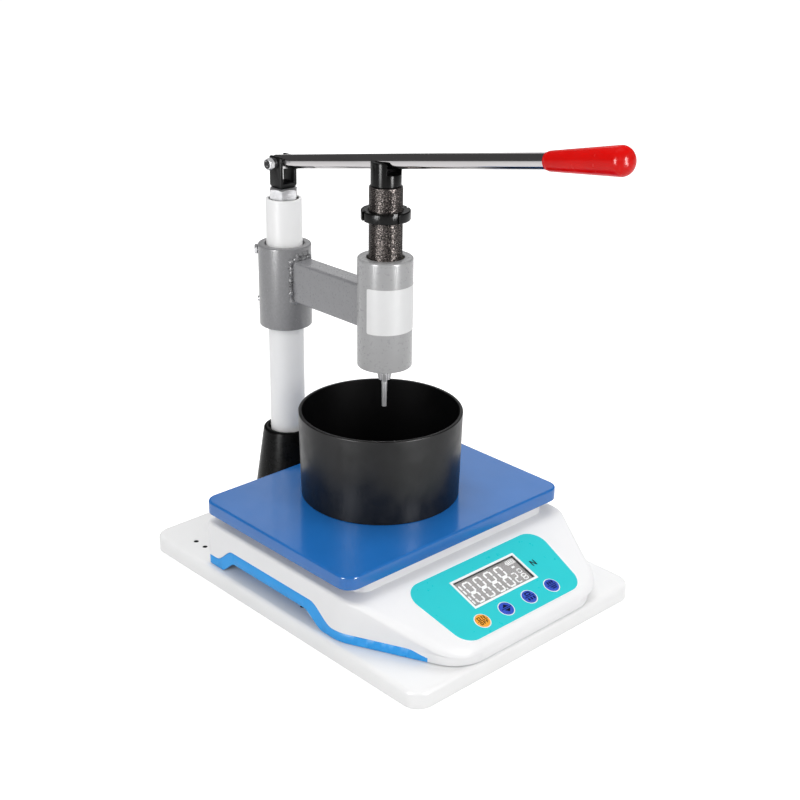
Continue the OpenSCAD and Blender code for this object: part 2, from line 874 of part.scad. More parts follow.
module handle_grip() {
  shoulder = 3;
  dome = 0.6 * handle_d;
  swell = handle_len - dome;
  profile = concat(
    [[0, 0]],
    [for (a = [0 : 15 : 90]) [handle_neck_d / 2 - shoulder * (1 - sin(a)), shoulder * (1 - cos(a))]],
    [for (a = [15 : 15 : 90]) [handle_d / 2 * cos(a), swell + dome * sin(a)]]
  );
  widest = [[handle_d / 2, swell]];
  outline = concat([for (i = [0 : 7]) profile[i]], widest, [for (i = [8 : len(profile) - 1]) profile[i]]);
  color("#c9150c")
    at_lever()
      translate([0, -handle_start, 0])
        rotate([90, 0, 0])
          difference() {
            rotate_extrude()
              polygon(outline);
            translate([0, 0, -cut])
              cylinder(d = lever_d + 2 * fit_gap, h = handle_bore + cut);
          }
}

// Spindle
module spindle() {
  color("#3a3836")
    at_spindle()
      difference() {
        union() {
          translate([0, 0, spindle_bottom])
            cylinder(d = spindle_d, h = fork_bottom - spindle_bottom);
          translate([0, 0, fork_bottom - cut])
            cylinder(d = fork_d, h = fork_len + cut);
        }
        translate([-fork_slot_w / 2, -fork_d, fork_floor])
          cube([fork_slot_w, 2 * fork_d, fork_len]);
        translate([-fork_d, 0, fork_pin_z])
          rotate([0, 90, 0])
            cylinder(d = fork_pin_d + 2 * fit_gap, h = 2 * fork_d);
        translate([0, 0, spindle_bottom - cut])
          cylinder(d = chuck_stub_d + 2 * fit_gap, h = chuck_stub_len + fit_gap + cut);
      }
}

module fork_pin() {
  length = fork_d - 0.4;
  color("#2c2c2c")
    translate([-length / 2, spindle_y, fork_pin_z])
      rotate([0, 90, 0])
        cylinder(d = fork_pin_d, h = length);
}

module chuck_body() {
  nose = 4;
  color("#3c3c3e")
    at_spindle()
      difference() {
        union() {
          translate([0, 0, chuck_bottom])
            cylinder(d1 = chuck_d - 2 * nose, d2 = chuck_d, h = nose);
          translate([0, 0, chuck_bottom + nose])
            cylinder(d = chuck_d, h = chuck_len - nose);
          translate([0, 0, spindle_bottom - cut])
            cylinder(d = chuck_stub_d, h = chuck_stub_len + cut);
        }
        translate([0, 0, chuck_bottom - cut])
          cylinder(d = jaw_bore_d, h = jaw_in + cut);
      }
}

module chuck_jaws() {
  inner = needle_d / 2 + fit_gap;
  outer = jaw_span / 2;
  section = [[inner, jaw_tip], [outer - jaw_tip_inset, jaw_tip], [outer, chuck_bottom],
    [outer, chuck_bottom + jaw_in], [inner, chuck_bottom + jaw_in]];
  color("#8d8d90")
    at_spindle()
      for (a = [-133 : 120 : 107])
        rotate([0, 0, a])
          translate([0, jaw_w / 2, 0])
            rotate([90, 0, 0])
              linear_extrude(jaw_w)
                polygon(section);
}

module needle() {
  color("#c8c8ca")
    at_spindle() {
      translate([0, 0, needle_tip])
        cylinder(d1 = needle_tip_d, d2 = needle_d, h = needle_show);
      translate([0, 0, jaw_tip])
        cylinder(d = needle_d, h = jaw_show + jaw_in);
    }
}

module stop_nut() {
  r = stop_nut_d / 2;
  bore_r = spindle_d / 2 + run_gap;
  color("#232323")
    at_spindle()
      translate([0, 0, stop_nut_bottom])
        difference() {
          rotate_extrude()
            polygon([[bore_r, 0], [r - stop_chamfer, 0], [r, stop_chamfer], [r, stop_nut_h - stop_chamfer],
              [r - stop_chamfer, stop_nut_h], [bore_r, stop_nut_h]]);
          for (k = [0 : stop_slots - 1])
            rotate([0, 0, k * 360 / stop_slots - 107])
              translate([r - stop_slot_depth, -stop_slot_w / 2, -cut])
                cube([stop_slot_depth + cut, stop_slot_w, stop_nut_h + 2 * cut]);
        }
}

// Scale case
module case_block(d, z0, z1) {
  translate([0, 0, z0])
    linear_extrude(z1 - z0)
      polygon(case_plan(d));
}

module case_hull(d, side_d, z0) {
  intersection() {
    case_block(side_d, z0, neck_top);
    across_x(inset_loop(case_profile, d), -case_w, case_w);
  }
}

module neck_block(d) {
  translate([0, 0, ledge_z - 2 * case_wall])
    linear_extrude(neck_h + 2 * case_wall - d)
      rounded_rect(neck_w - 2 * d, neck_d - 2 * d, neck_r - d);
}

module recess_cuts(d) {
  both_sides()
    across_x(inset_loop(recess_loop, -d), recess_x - d, case_w / 2 + cut);
}

module case_screw_places() {
  both_sides()
    for (p = [case_screw_rear, case_screw_front])
      translate([p[0], p[1], 0])
        children();
}

module standoff_places() {
  on_panel()
    for (x = [-1, 1], v = standoff_v)
      translate([x * standoff_u, v, 0])
        children();
}

module key_places() {
  on_panel()
    for (u = key_u)
      translate([u, -key_down, 0])
        children();
}

module pad_places() {
  for (x = [-1, 1], y = [-1, 1])
    translate([x * spider_pad_x, y * spider_pad_y, 0])
      children();
}

module upper_cavity() {
  difference() {
    union() {
      case_hull(case_wall, side_wall, parting_z - cut);
      neck_block(case_wall);
    }
    recess_cuts(case_wall);
    case_screw_places()
      translate([0, 0, case_floor_top])
        cylinder(d = boss_d, h = case_h);
    standoff_places()
      translate([0, 0, board_n])
        cylinder(d = standoff_d, h = lcd_t + case_wall);
  }
}

module scale_upper_case() {
  color("#efefef")
    at_scale()
      difference() {
        union() {
          case_hull(0, 0, parting_z);
          neck_block(0);
          case_screw_places()
            translate([0, 0, case_floor_top])
              cylinder(d = boss_d, h = parting_h);
        }
        upper_cavity();
        recess_cuts(0);
        both_sides()
          trim_strip();
        case_screw_places()
          translate([0, 0, case_floor_top - cut])
            cylinder(d = case_screw_d + 2 * fit_gap, h = case_screw_in + cut);
        standoff_places()
          translate([0, 0, board_n - cut])
            cylinder(d = board_screw_d + 2 * fit_gap, h = lcd_t - 1 + cut);
        on_panel()
          translate([0, lcd_up, -case_wall - cut])
            linear_extrude(case_wall + 2 * cut)
              square([window_w + 2 * window_gap, window_h + 2 * window_gap], center = true);
        key_places()
          translate([0, 0, -case_wall - cut])
            cylinder(d = key_d + 2 * run_gap, h = case_wall + 2 * cut);
        pad_places()
          translate([0, 0, ledge_z])
            cylinder(d = stud_hole_d, h = neck_h + cut);
        charge_jack_hole();
      }
}

module scale_lower_case() {
  color("#e4e8ec")
    at_scale()
      difference() {
        case_block(0, case_bottom, parting_z);
        difference() {
          case_block(side_wall, case_floor_top, parting_z + cut);
          recess_cuts(case_wall);
          translate([-cell_w / 2 - case_wall, cell_len / 2 - cell_seat, case_bottom])
            cube([cell_w + 2 * case_wall, cell_seat, parting_h]);
        }
        recess_cuts(0);
        both_sides()
          trim_strip();
        case_screw_places()
          cylinder(d = case_screw_d + 2 * fit_gap, h = parting_z);
        for (y = cell_screw_y)
          translate([0, y, 0]) {
            cylinder(d = cell_screw_d + 2 * fit_gap, h = cell_bottom + cut);
            cylinder(d = cell_screw_head_d + 1, h = case_floor_top);
          }
      }
  color("#e4e8ec")
    at_scale()
      difference() {
        translate([-cell_w / 2, cell_len / 2 - cell_seat, parting_z - fit_gap])
          cube([cell_w, cell_seat, cell_bottom - parting_z + fit_gap]);
        for (y = cell_screw_y)
          translate([0, y, 0])
            cylinder(d = cell_screw_d + 2 * fit_gap, h = cell_bottom + cut);
      }
}

module scale_feet() {
  color("#2a2a2a")
    at_scale()
      both_sides()
        for (p = [scale_foot_rear, scale_foot_front])
          translate([p[0], p[1], base_h])
            cylinder(d = scale_foot_d, h = scale_foot_h);
}

module case_screws() {
  color("#8a8a8a")
    at_scale()
      case_screw_places()
        union() {
          translate([0, 0, case_bottom - case_screw_head_h])
            cylinder(d = 2 * case_screw_d, h = case_screw_head_h);
          translate([0, 0, case_bottom - case_screw_head_h])
            cylinder(d = case_screw_d, h = case_screw_head_h + case_wall + case_screw_in - cut);
        }
}

module trim_strip() {
  intersection() {
    difference() {
      case_block(0, base_h, ledge_z);
      case_block(trim_t, base_h - cut, ledge_z + cut);
    }
    across_x(trim_loop, 0, case_w);
  }
}

module side_trim() {
  color("#3aa0e8")
    at_scale()
      trim_strip();
}

module trim_left() {
  mirror([1, 0, 0])
    side_trim();
}

module trim_right() {
  side_trim();
}

// Panel
module panel_overlay() {
  color("#2bcfd4")
    at_scale()
      difference() {
        on_panel()
          linear_extrude(overlay_t)
            difference() {
              polygon(round_loop(overlay_loop, overlay_radii));
              translate([0, lcd_up])
                square([lcd_w, lcd_h], center = true);
            }
        key_places()
          translate([0, 0, -cut])
            cylinder(d = key_d + 2 * run_gap, h = overlay_t + 2 * cut);
      }
}

module lcd_window() {
  color("#dfe6e8", 0.4)
    at_scale()
      on_panel()
        translate([0, lcd_up, -window_t])
          linear_extrude(window_t)
            square([window_w, window_h], center = true);
}

module lcd_module() {
  color("#a9adab")
    at_scale()
      on_panel()
        translate([0, lcd_up, board_n])
          linear_extrude(lcd_t)
            square([window_w + 2 * lcd_frame, window_h + 2 * lcd_frame], center = true);
}

module main_board() {
  color("#1f6b3a")
    at_scale()
      difference() {
        on_panel()
          translate([-board_w / 2, board_bottom_v, board_n - board_t])
            cube([board_w, board_top_v - board_bottom_v, board_t]);
        standoff_places()
          translate([0, 0, board_n - board_t - cut])
            cylinder(d = board_screw_d + 2 * fit_gap, h = board_t + 2 * cut);
      }
}

module board_screws() {
  head_h = 1.8;
  color("#9a9a9c")
    at_scale()
      standoff_places()
        union() {
          translate([0, 0, board_n - board_t - head_h])
            cylinder(d = 2 * board_screw_d, h = head_h);
          translate([0, 0, board_n - board_t - head_h])
            cylinder(d = board_screw_d, h = head_h + board_t + lcd_t - 2);
        }
}

module key_switches() {
  color("#303236")
    at_scale()
      key_places()
        translate([-switch_w / 2, -switch_w / 2, board_n])
          cube([switch_w, switch_w, switch_top - board_n]);
}

module key(i) {
  on_panel()
    translate([key_u[i], -key_down, 0]) {
      translate([0, 0, key_flange_n - key_flange_t / 2])
        cylinder(d = key_d, h = overlay_t + key_rise - key_flange_n + key_flange_t / 2);
      translate([0, 0, key_flange_n - key_flange_t])
        cylinder(d = key_flange_d, h = key_flange_t);
    }
}

module key_power() {
  color("#f0a830")
    at_scale()
      key(0);
}

module key_left() {
  color("#2c3fae")
    at_scale()
      key(1);
}

module key_middle() {
  color("#2c3fae")
    at_scale()
      key(2);
}

module key_right() {
  color("#2c3fae")
    at_scale()
      key(3);
}

module at_jack() {
  translate([jack_x, case_rear, jack_z])
    rotate([90, 0, 0])
      children();
}

module charge_jack_hole() {
  at_jack()
    translate([0, 0, -cut])
      cylinder(d = jack_d + 2 * fit_gap, h = side_wall + 2 * cut);
}

module charge_jack() {
  bezel_t = 1;
  color("#202124")
    at_scale()
      at_jack()
        difference() {
          union() {
            translate([0, 0, -bezel_t])
              cylinder(d = jack_bezel_d, h = bezel_t);
            translate([0, 0, -bezel_t])
              cylinder(d = jack_d, h = jack_len);
          }
          translate([0, 0, -bezel_t - cut])
            cylinder(d = jack_bore, h = jack_len - 1);
        }
}

// Load cell and spider
module load_cell() {
  color("#b8bcc0")
    at_scale()
      difference() {
        translate([-cell_w / 2, -cell_len / 2, cell_bottom])
          cube([cell_w, cell_len, cell_h]);
        for (y = [-1, 1])
          translate([-cell_w, y * cell_hole_shift, cell_bottom + cell_h / 2])
            rotate([0, 90, 0])
              cylinder(d = cell_hole_d, h = 2 * cell_w);
        for (y = cell_screw_y) {
          translate([0, y, cell_bottom - cut])
            cylinder(d = cell_screw_d + 2 * fit_gap, h = cell_screw_in + cut + fit_gap);
          translate([0, -y, cell_top - cell_screw_in - fit_gap])
            cylinder(d = cell_screw_d + 2 * fit_gap, h = cell_screw_in + cut + fit_gap);
        }
      }
}

module cell_screw(grip) {
  cylinder(d = cell_screw_head_d, h = cell_screw_head_h);
  cylinder(d = cell_screw_d, h = cell_screw_head_h + grip + cell_screw_in);
}

module load_cell_screws() {
  low_seat = case_floor_top;
  high_seat = spider_bottom + spider_t;
  color("#6d6f72")
    at_scale()
      for (y = cell_screw_y) {
        translate([0, y, low_seat - cell_screw_head_h])
          cell_screw(cell_bottom - low_seat);
        translate([0, -y, high_seat + cell_screw_head_h])
          rotate([180, 0, 0])
            cell_screw(high_seat - cell_top);
      }
}

module spider() {
  plate_front = cell_len / 2;
  bar_reach = spider_reach + stud_d;
  color("#c3c6c9")
    at_scale()
      difference() {
        union() {
          for (a = [spider_angle, -spider_angle])
            rotate([0, 0, a])
              translate([-bar_reach, -spider_bar_w / 2, spider_bottom])
                cube([2 * bar_reach, spider_bar_w, spider_t]);
          translate([-cell_w / 2, -plate_front, spider_bottom])
            cube([cell_w, plate_front, spider_t]);
          translate([-cell_w / 2, -plate_front, cell_top])
            cube([cell_w, cell_seat - cell_hole_d, spider_gap + spider_t / 2]);
          pad_places()
            translate([0, 0, spider_bottom + spider_t / 2])
              cylinder(d = stud_d, h = stud_top - spider_bottom - spider_t / 2);
        }
        for (y = cell_screw_y)
          translate([0, -y, cell_top - cut])
            cylinder(d = cell_screw_d + 2 * fit_gap, h = spider_gap + spider_t + 2 * cut);
      }
}

module tray_pads() {
  color("#3a3a3a")
    at_scale()
      pad_places()
        translate([0, 0, stud_top])
          cylinder(d = pad_d, h = pad_t);
}

module battery() {
  color("#2b2d30")
    at_scale()
      translate([battery_corner[0], battery_corner[1], case_floor_top])
        cube(battery_size);
}

// Tray and container
module tray() {
  color("#1e5faa")
    at_scale()
      translate([tray_shift_x, tray_shift_y, tray_top - tray_rim_h])
        difference() {
          soft_slab(tray_w, tray_d, tray_rim_h, tray_corner_r, tray_edge_r);
          translate([0, 0, -cut])
            soft_slab(tray_w - 2 * tray_sheet, tray_d - 2 * tray_sheet, tray_rim_h - tray_sheet + cut,
              tray_corner_r - tray_sheet, tray_edge_r - tray_sheet);
        }
}

module container() {
  color("#1c1c1e")
    translate([cup_x, cup_y, tray_top])
      difference() {
        cylinder(d1 = cup_top_d - 2 * cup_draft, d2 = cup_top_d, h = cup_h);
        translate([0, 0, cup_floor])
          cylinder(d1 = cup_bore - 2 * cup_draft, d2 = cup_bore, h = cup_depth);
      }
}

base_plate();
base_stiffener();
post_socket();
post_socket_screws();
post_tube();
post_plug();
lock_nut();
clevis();
pivot_bolt();
pivot_washers();
pivot_nut();
post_collar();
arm();
spindle_sleeve();
collar_screws();
spindle_bushes();
lever_bar();
handle_grip();
spindle();
fork_pin();
chuck_body();
chuck_jaws();
needle();
stop_nut();
scale_upper_case();
scale_lower_case();
trim_left();
trim_right();
panel_overlay();
lcd_window();
lcd_module();
main_board();
board_screws();
key_switches();
load_cell();
load_cell_screws();
spider();
tray_pads();
battery();
charge_jack();
scale_feet();
case_screws();
tray();
key_power();
key_left();
key_middle();
key_right();
container();
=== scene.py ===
# Looks of the mortar setting-time tester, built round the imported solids.
# Lengths are in millimetres, apart from the places of the lamps, which are in metres.
from math import atan2, cos, hypot, pi, radians, sin, sqrt, tan

import bmesh
import bpy
from mathutils import Matrix, Vector, noise


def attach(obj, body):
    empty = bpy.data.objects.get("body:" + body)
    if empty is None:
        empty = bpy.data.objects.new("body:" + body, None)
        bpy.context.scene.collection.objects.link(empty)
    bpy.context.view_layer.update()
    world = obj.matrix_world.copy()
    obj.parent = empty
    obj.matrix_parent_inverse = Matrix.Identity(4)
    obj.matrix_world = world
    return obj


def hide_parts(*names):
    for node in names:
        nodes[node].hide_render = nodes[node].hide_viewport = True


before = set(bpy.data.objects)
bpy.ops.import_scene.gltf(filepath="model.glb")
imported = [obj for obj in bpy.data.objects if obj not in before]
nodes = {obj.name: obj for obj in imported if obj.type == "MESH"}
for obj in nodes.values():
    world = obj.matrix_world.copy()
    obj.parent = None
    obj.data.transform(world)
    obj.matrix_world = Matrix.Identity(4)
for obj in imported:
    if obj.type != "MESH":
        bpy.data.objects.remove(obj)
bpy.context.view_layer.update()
scene = bpy.context.scene
MM = 0.001
TURN = 2 * pi

# Main sizes
BASE_W, BASE_D, BASE_H, BASE_SHEET = 273.5, 370, 16, 2.5
BASE_CORNER, BASE_EDGE, BASE_X, BASE_Y = 16, 4, 0.75, 1.0
HOLE_D, HOLE_SPAN, HOLE_PITCH, HOLE_REAR, HOLE_FRONT = 5, 231, 14.2, 135.3, 24.5
POST_Y, POST_R, POST_BORE, POST_TOP = 143.6, 16.85, 14.25, 332
PLUG_LOW, PLUG_TOP, SHANK_SEAT = 305, 331, 7.1
LOCK_AF, LOCK_H, LOCK_TURN = 24, 10.5, radians(46)
SOCKET_FOOT, SOCKET_TOP, SOCKET_H, SOCKET_SEAT = 36.4, 23.7, 88, 16.9
PIVOT_Z, CLEVIS_BOTTOM, CLEVIS_TOP, CLEVIS_FLOOR = 365.2, 341.5, 371.0, 346.5
CLEVIS_W, CLEVIS_D, CLEVIS_SLOT = 19, 17, 13.6
PIVOT_D, HEAD_AF, WASHER_T, WASHER_BORE = 5, 8.335, 1.8, 2.55
COLLAR_R, COLLAR_LOW, COLLAR_HIGH = 25, 210, 289
SCREW_R, SCREW_TURN, SCREW_DROPS = 2.5, radians(135), (6.6, 55.1)
ARM_W, ARM_LOW, ARM_HIGH, ARM_EDGE = 20, 238.5, 278, 2.4
ARM_MID = (ARM_LOW + ARM_HIGH) / 2
WELD_SEED = 1
SPINDLE_Y, SLEEVE_R, SLEEVE_BORE, SLEEVE_LOW, SLEEVE_HIGH = 4.8, 24.45, 16.25, 208, 307
LABEL_LOW, LABEL_HIGH, LABEL_START, LABEL_LEN, LABEL_T = 243.0, 283.8, radians(187.5), 60, 0.18
LABEL_R = SLEEVE_R + 0.03
THREAD_R, NECK_R, SPINDLE_BORE = 14.75, 13.25, 6.05
THREAD_PITCH, THREAD_DEPTH, THREAD_ROW, THREAD_SIDES = 1.5, 0.55, 0.25, 72
PLAIN_LOW, PLAIN_HIGH = 246, 298
PIN_Z, PIN_R, PIN_HALF = 386.5, 1.5, 12.8
FORK_TOP, FORK_LOW, FORK_FLOOR, FORK_SLOT = PIN_Z + 3.5, PIN_Z - 17.5, PIN_Z - 7, 16.8
SPINDLE_LOW = FORK_TOP - 168
CHUCK_LOW, CHUCK_R, CHUCK_DEEP = SPINDLE_LOW - 22.5, 13, 12
JAW_TIP, JAW_HALF, JAW_IN, JAW_OUT = CHUCK_LOW - 7, 2.0, 2.55, 6.5
NEEDLE_TIP = JAW_TIP - 24.8
NUT_LOW, NUT_H, NUT_R = 340, 8.7, 21.5
LEVER_R, LEVER_TILT, LEVER_TAIL, PIN_ALONG = 6.5, radians(9.95), 10.6, 138.8
HANDLE_START, HANDLE_LEN, HANDLE_R, HANDLE_NECK, HANDLE_BORE = 320.8, 78.5, 11.35, 7.85, 62
CASE_LOW, PARTING_Z, LEDGE_Z, NECK_TOP = 18, 22, 60, 75
CASE_HALF, CASE_HALF_HIGH, CASE_REAR, CASE_FRONT = 130, 130.8, 103, 183
TAPER_LOW, TAPER_HIGH, TAPER = 82.4, 97.0, radians(25.2)
SLOPE_Y, TILT, PANEL_V = -105, radians(19.3), 40.6
PANEL_Y = SLOPE_Y - PANEL_V * cos(TILT)
PANEL_Z = LEDGE_Z - PANEL_V * sin(TILT)
RECESS_X, RECESS_TOP = 106, 29.3
LCD_W, LCD_H, LCD_UP, LCD_FRAME = 75, 29.5, 6.6, 2.1
KEY_R, KEY_PITCH, KEY_DOWN, KEY_TOP = 6.8, 29, 23.1, 1.3
TRAY_W, TRAY_D, TRAY_TOP, TRAY_RIM, TRAY_X, TRAY_Y = 263, 199.4, 84.4, 12, -3.9, -0.4
CUP_R, CUP_BORE, CUP_H, CUP_FLOOR, CUP_DRAFT, CUP_X, CUP_Y = 74.2, 71, 80.6, 5, 1.9, -2.3, 6.8

# Colour and materials
BLACK, WHITE = (0, 0, 0, 1), (1, 1, 1, 1)
BUMP_DEPTH = 0.0004


def lin(code):
    """Linear colour of a hexadecimal display colour."""
    out = []
    for i in (0, 2, 4):
        c = int(code[i:i + 2], 16) / 255
        out.append(c / 12.92 if c <= 0.04045 else ((c + 0.055) / 1.055) ** 2.4)
    return (*out, 1.0)


def times(color, k):
    return (*(min(1.0, c * k) for c in color[:3]), 1.0)


class Nodes:
    """Short ways to add nodes to a material or world."""

    def __init__(self, owner):
        owner.use_nodes = True
        self.owner = owner
        self.tree = owner.node_tree
        self.bsdf = self.tree.nodes.get("Principled BSDF")

    def feed(self, spot, value):
        """Links an output to an input, or sets the input's own value."""
        if isinstance(value, bpy.types.NodeSocket):
            self.tree.links.new(value, spot)
        else:
            spot.default_value = value

    def add(self, kind, *inputs, **values):
        """New node; names in small letters are its settings, the others its inputs."""
        node = self.tree.nodes.new("ShaderNode" + kind)
        for name, value in values.items():
            if name.islower():
                setattr(node, name, value)
        for spot, value in zip(node.inputs, inputs):
            self.feed(spot, value)
        for name, value in values.items():
            if not name.islower():
                self.feed(node.inputs[name.replace("_", " ")], value)
        return node

    def shade(self, **values):
        for name, value in values.items():
            self.feed(self.bsdf.inputs[name.replace("_", " ")], value)

    def noise(self, scale, detail=3.0, stretch=None):
        place = self.add("TexCoord").outputs["Object"]
        if stretch:
            place = self.add("Mapping", Vector=place, Scale=stretch).outputs["Vector"]
        return self.add("TexNoise", Vector=place, Scale=scale, Detail=detail, Roughness=0.55).outputs["Fac"]

    def ramp(self, value, *stops):
        node = self.add("ValToRGB", Fac=value)
        for mark, (at, color) in zip(node.color_ramp.elements, stops):
            mark.position = at
            mark.color = color
        return node.outputs["Color"]

    def spread(self, value, low, high, start=0.3, end=0.7):
        node = self.add("MapRange", Value=value, From_Min=start, From_Max=end, To_Min=low, To_Max=high)
        return node.outputs["Result"]

    def mix(self, fac, a, b):
        return self.add("Mix", data_type="RGBA", Factor=fac, A=a, B=b).outputs["Result"]

    def math(self, operation, *values):
        return self.add("Math", *values, operation=operation).outputs[0]


def surface(name, code, rough, tone, metal=0.0, rough_tone=0.05, bump=None, coat=(0.0, 0.1), shine=0.5,
            specks_and_glints=None, stretch=None, turning=0.0):
    """Painted, plastic or metal surface with uneven tone, gloss and texture.

    tone and bump are (strength, scale), coat is (weight, roughness) and the flecks are (colour, scale,
    threshold): on some materials the material's own specks, on others painted glints.
    """
    n = Nodes(bpy.data.materials.new(name))
    color = lin(code)
    depth, grain = tone
    cloud = n.noise(grain, 4.0, stretch)
    tint = n.ramp(cloud, (0.3, times(color, 1 - depth)), (0.7, times(color, 1 + depth)))
    if specks_and_glints:
        other, scale, start = specks_and_glints
        spots = n.ramp(n.noise(scale, 2.0, stretch), (start, BLACK), (start + 0.08, WHITE))
        tint = n.mix(spots, tint, lin(other))
    gloss = n.spread(n.noise(grain * 3, 3.0, stretch), rough - rough_tone, rough + rough_tone)
    n.shade(Base_Color=tint, Roughness=gloss, Metallic=metal, Specular_IOR_Level=shine)
    n.shade(Coat_Weight=coat[0], Coat_Roughness=coat[1])
    if bump:
        grains = n.noise(bump[1], 2.0)
        n.shade(Normal=n.add("Bump", Strength=bump[0], Distance=BUMP_DEPTH, Height=grains).outputs["Normal"])
    if turning:
        around = n.add("Tangent", direction_type="RADIAL", axis="Z").outputs["Tangent"]
        n.shade(Tangent=around, Anisotropic=turning, Anisotropic_Rotation=0.25)
    return n.owner


WHITE_PAINT = surface("white_paint", "ececec", 0.36, (0.015, 18), bump=(0.04, 700), shine=0.4)
POST_PAINT = surface("post_paint", "f2f2f2", 0.38, (0.015, 30), bump=(0.05, 800), shine=0.22)
CASE_WHITE = surface("case_white", "e9e9ea", 0.5, (0.012, 25), bump=(0.08, 2600), shine=0.3)
COLLAR_PAINT = surface("collar_paint", "808082", 0.34, (0.07, 420), bump=(0.5, 520), coat=(0.45, 0.16),
                       specks_and_glints=("9a9a9c", 900, 0.66))
ARM_PAINT = surface("arm_paint", "838386", 0.3, (0.03, 160), bump=(0.16, 620), coat=(0.6, 0.12))
SLEEVE_PAINT = surface("sleeve_paint", "9c9c9d", 0.3, (0.02, 120), bump=(0.04, 620), coat=(0.4, 0.14))
BLACK_GLOSS = surface("black_gloss", "0b0b0b", 0.28, (0.25, 60), bump=(0.03, 900), shine=0.08)
BLACK_STEEL = surface("black_steel", "0e0e0f", 0.4, (0.3, 220), bump=(0.2, 1200), rough_tone=0.1, shine=0.2)
NECK_STEEL = surface("neck_steel", "090909", 0.3, (0.25, 150), stretch=(1, 1, 12), shine=0.2, turning=0.9)
NUT_STEEL = surface("nut_steel", "090909", 0.2, (0.3, 300), bump=(0.3, 1100), shine=0.2,
                    specks_and_glints=("7a7876", 1200, 0.7))
LEVER_STEEL = surface("lever_steel", "c9c6c7", 0.1, (0.04, 120), metal=1.0, stretch=(1, 0.05, 1),
                      rough_tone=0.03)
RED_GRIP = surface("red_grip", "d20400", 0.23, (0.06, 35), bump=(0.02, 900), shine=0.2)
# The light flecks on the thread are painted glints of light on its crests.
THREAD_STEEL = surface("thread_steel", "2a2726", 0.36, (0.35, 600), metal=0.85, bump=(0.45, 1500),
                       specks_and_glints=("8e8682", 2400, 0.53), rough_tone=0.12, stretch=(0.3, 0.3, 1.2))
BRIGHT_STEEL = surface("bright_steel", "f0f0f2", 0.18, (0.02, 120), metal=0.6, rough_tone=0.02,
                       stretch=(1, 1, 0.1), turning=0.8)
JAW_STEEL = surface("jaw_steel", "e4e4e6", 0.22, (0.05, 250), metal=0.5, rough_tone=0.03, turning=0.8)
ZINC = surface("zinc", "bcbcbe", 0.4, (0.14, 320), metal=0.7, bump=(0.15, 1300), rough_tone=0.1)
PALE_ZINC = surface("pale_zinc", "d6d6d8", 0.34, (0.1, 400), metal=0.6, bump=(0.1, 1300))
# Dark zinc for small screws and the pivot's washers; on the post's plug its dark grey is painted shade.
DARK_ZINC_AND_SHADE = surface("dark_zinc_and_shade", "3c3c3e", 0.45, (0.25, 320), metal=0.5, bump=(0.15, 1400))
# Dark disc over the pivot nut's end face; its light flecks are painted glints on the thread.
NUT_END_PATCH = surface("bolt_end", "1d1d1f", 0.4, (0.3, 500), metal=0.4, bump=(0.3, 1200),
                   specks_and_glints=("d0d0d2", 700, 0.6))
BRASS = surface("bush_brass", "b99a55", 0.3, (0.1, 200), metal=1.0)
TRIM_BLUE = surface("trim_blue", "2b9be6", 0.4, (0.04, 30), bump=(0.04, 1800), shine=0.25)
TRAY_BLUE = surface("tray_blue", "1f68b2", 0.17, (0.04, 22), coat=(0.15, 0.08), bump=(0.03, 500),
                    rough_tone=0.04)
CUP_BLACK = surface("cup_black", "101011", 0.36, (0.2, 26), bump=(0.05, 420), rough_tone=0.07, shine=0.28)
# A darker, duller copy of the cup's black for its inside: painted shade.
CUP_SHADED_INSIDE = surface("cup_inside_painted_shade", "0a0a0b", 0.5, (0.2, 26), bump=(0.05, 420), shine=0.04)
TEAL = surface("overlay_teal", "27c8ce", 0.32, (0.01, 50), shine=0.4)
FOIL_WHITE = surface("foil_white", "f2f3f3", 0.34, (0.012, 50))
LABEL_WHITE = surface("label_white", "dcdcdc", 0.42, (0.015, 90), bump=(0.02, 1500))
KEY_ORANGE = surface("key_orange", "f0a42e", 0.35, (0.08, 300), shine=0.4)
KEY_BLUE = surface("key_blue", "3250bf", 0.35, (0.1, 260), shine=0.3)
MARK_DARK = surface("mark_dark", "0c141a", 0.45, (0.2, 400))
MARK_BROWN = surface("mark_brown", "481c00", 0.5, (0.2, 400), shine=0.2)
MARK_NAVY = surface("mark_navy", "03051c", 0.5, (0.2, 400), shine=0.2)
DIGIT_WHITE = surface("digit_white", "ffffff", 0.5, (0.01, 400))
BLACK_PLASTIC = surface("black_plastic", "1e1f21", 0.5, (0.15, 90), bump=(0.12, 2200))
RUBBER = surface("black_rubber", "161617", 0.7, (0.15, 120), bump=(0.2, 1800), shine=0.2)
ALLOY = surface("light_alloy", "bfc2c4", 0.38, (0.06, 150), metal=0.9, stretch=(1, 6, 1))
BOARD = surface("board_green", "1f6b3a", 0.42, (0.15, 200), coat=(0.3, 0.1), specks_and_glints=("3c8a55", 500, 0.62))
# The lower case's pale blue tint is painted bounce light from the blue trim in the recesses.
SHELL_GREY = surface("lower_case", "d6e2f3", 0.5, (0.02, 40), bump=(0.12, 2600))


def display_material():
    """Grey display whose dark cells show as fine lines."""
    n = Nodes(bpy.data.materials.new("display_grey"))
    place = n.add("TexCoord").outputs["Object"]
    wave = n.add("TexWave", bands_direction="X", Vector=place, Scale=260, Distortion=0.6).outputs["Fac"]
    n.shade(Base_Color=n.ramp(wave, (0.25, lin("8a8685")), (0.75, lin("a8a3a2"))))
    n.shade(Roughness=n.spread(n.noise(120), 0.35, 0.45))
    return n.owner


def pane_material():
    """Clear window with faint smears."""
    n = Nodes(bpy.data.materials.new("window_clear"))
    n.shade(Base_Color=(0.9, 0.93, 0.93, 1), Alpha=0.07, Roughness=n.spread(n.noise(150), 0.05, 0.12))
    return n.owner


DISPLAY = display_material()
PANE = pane_material()


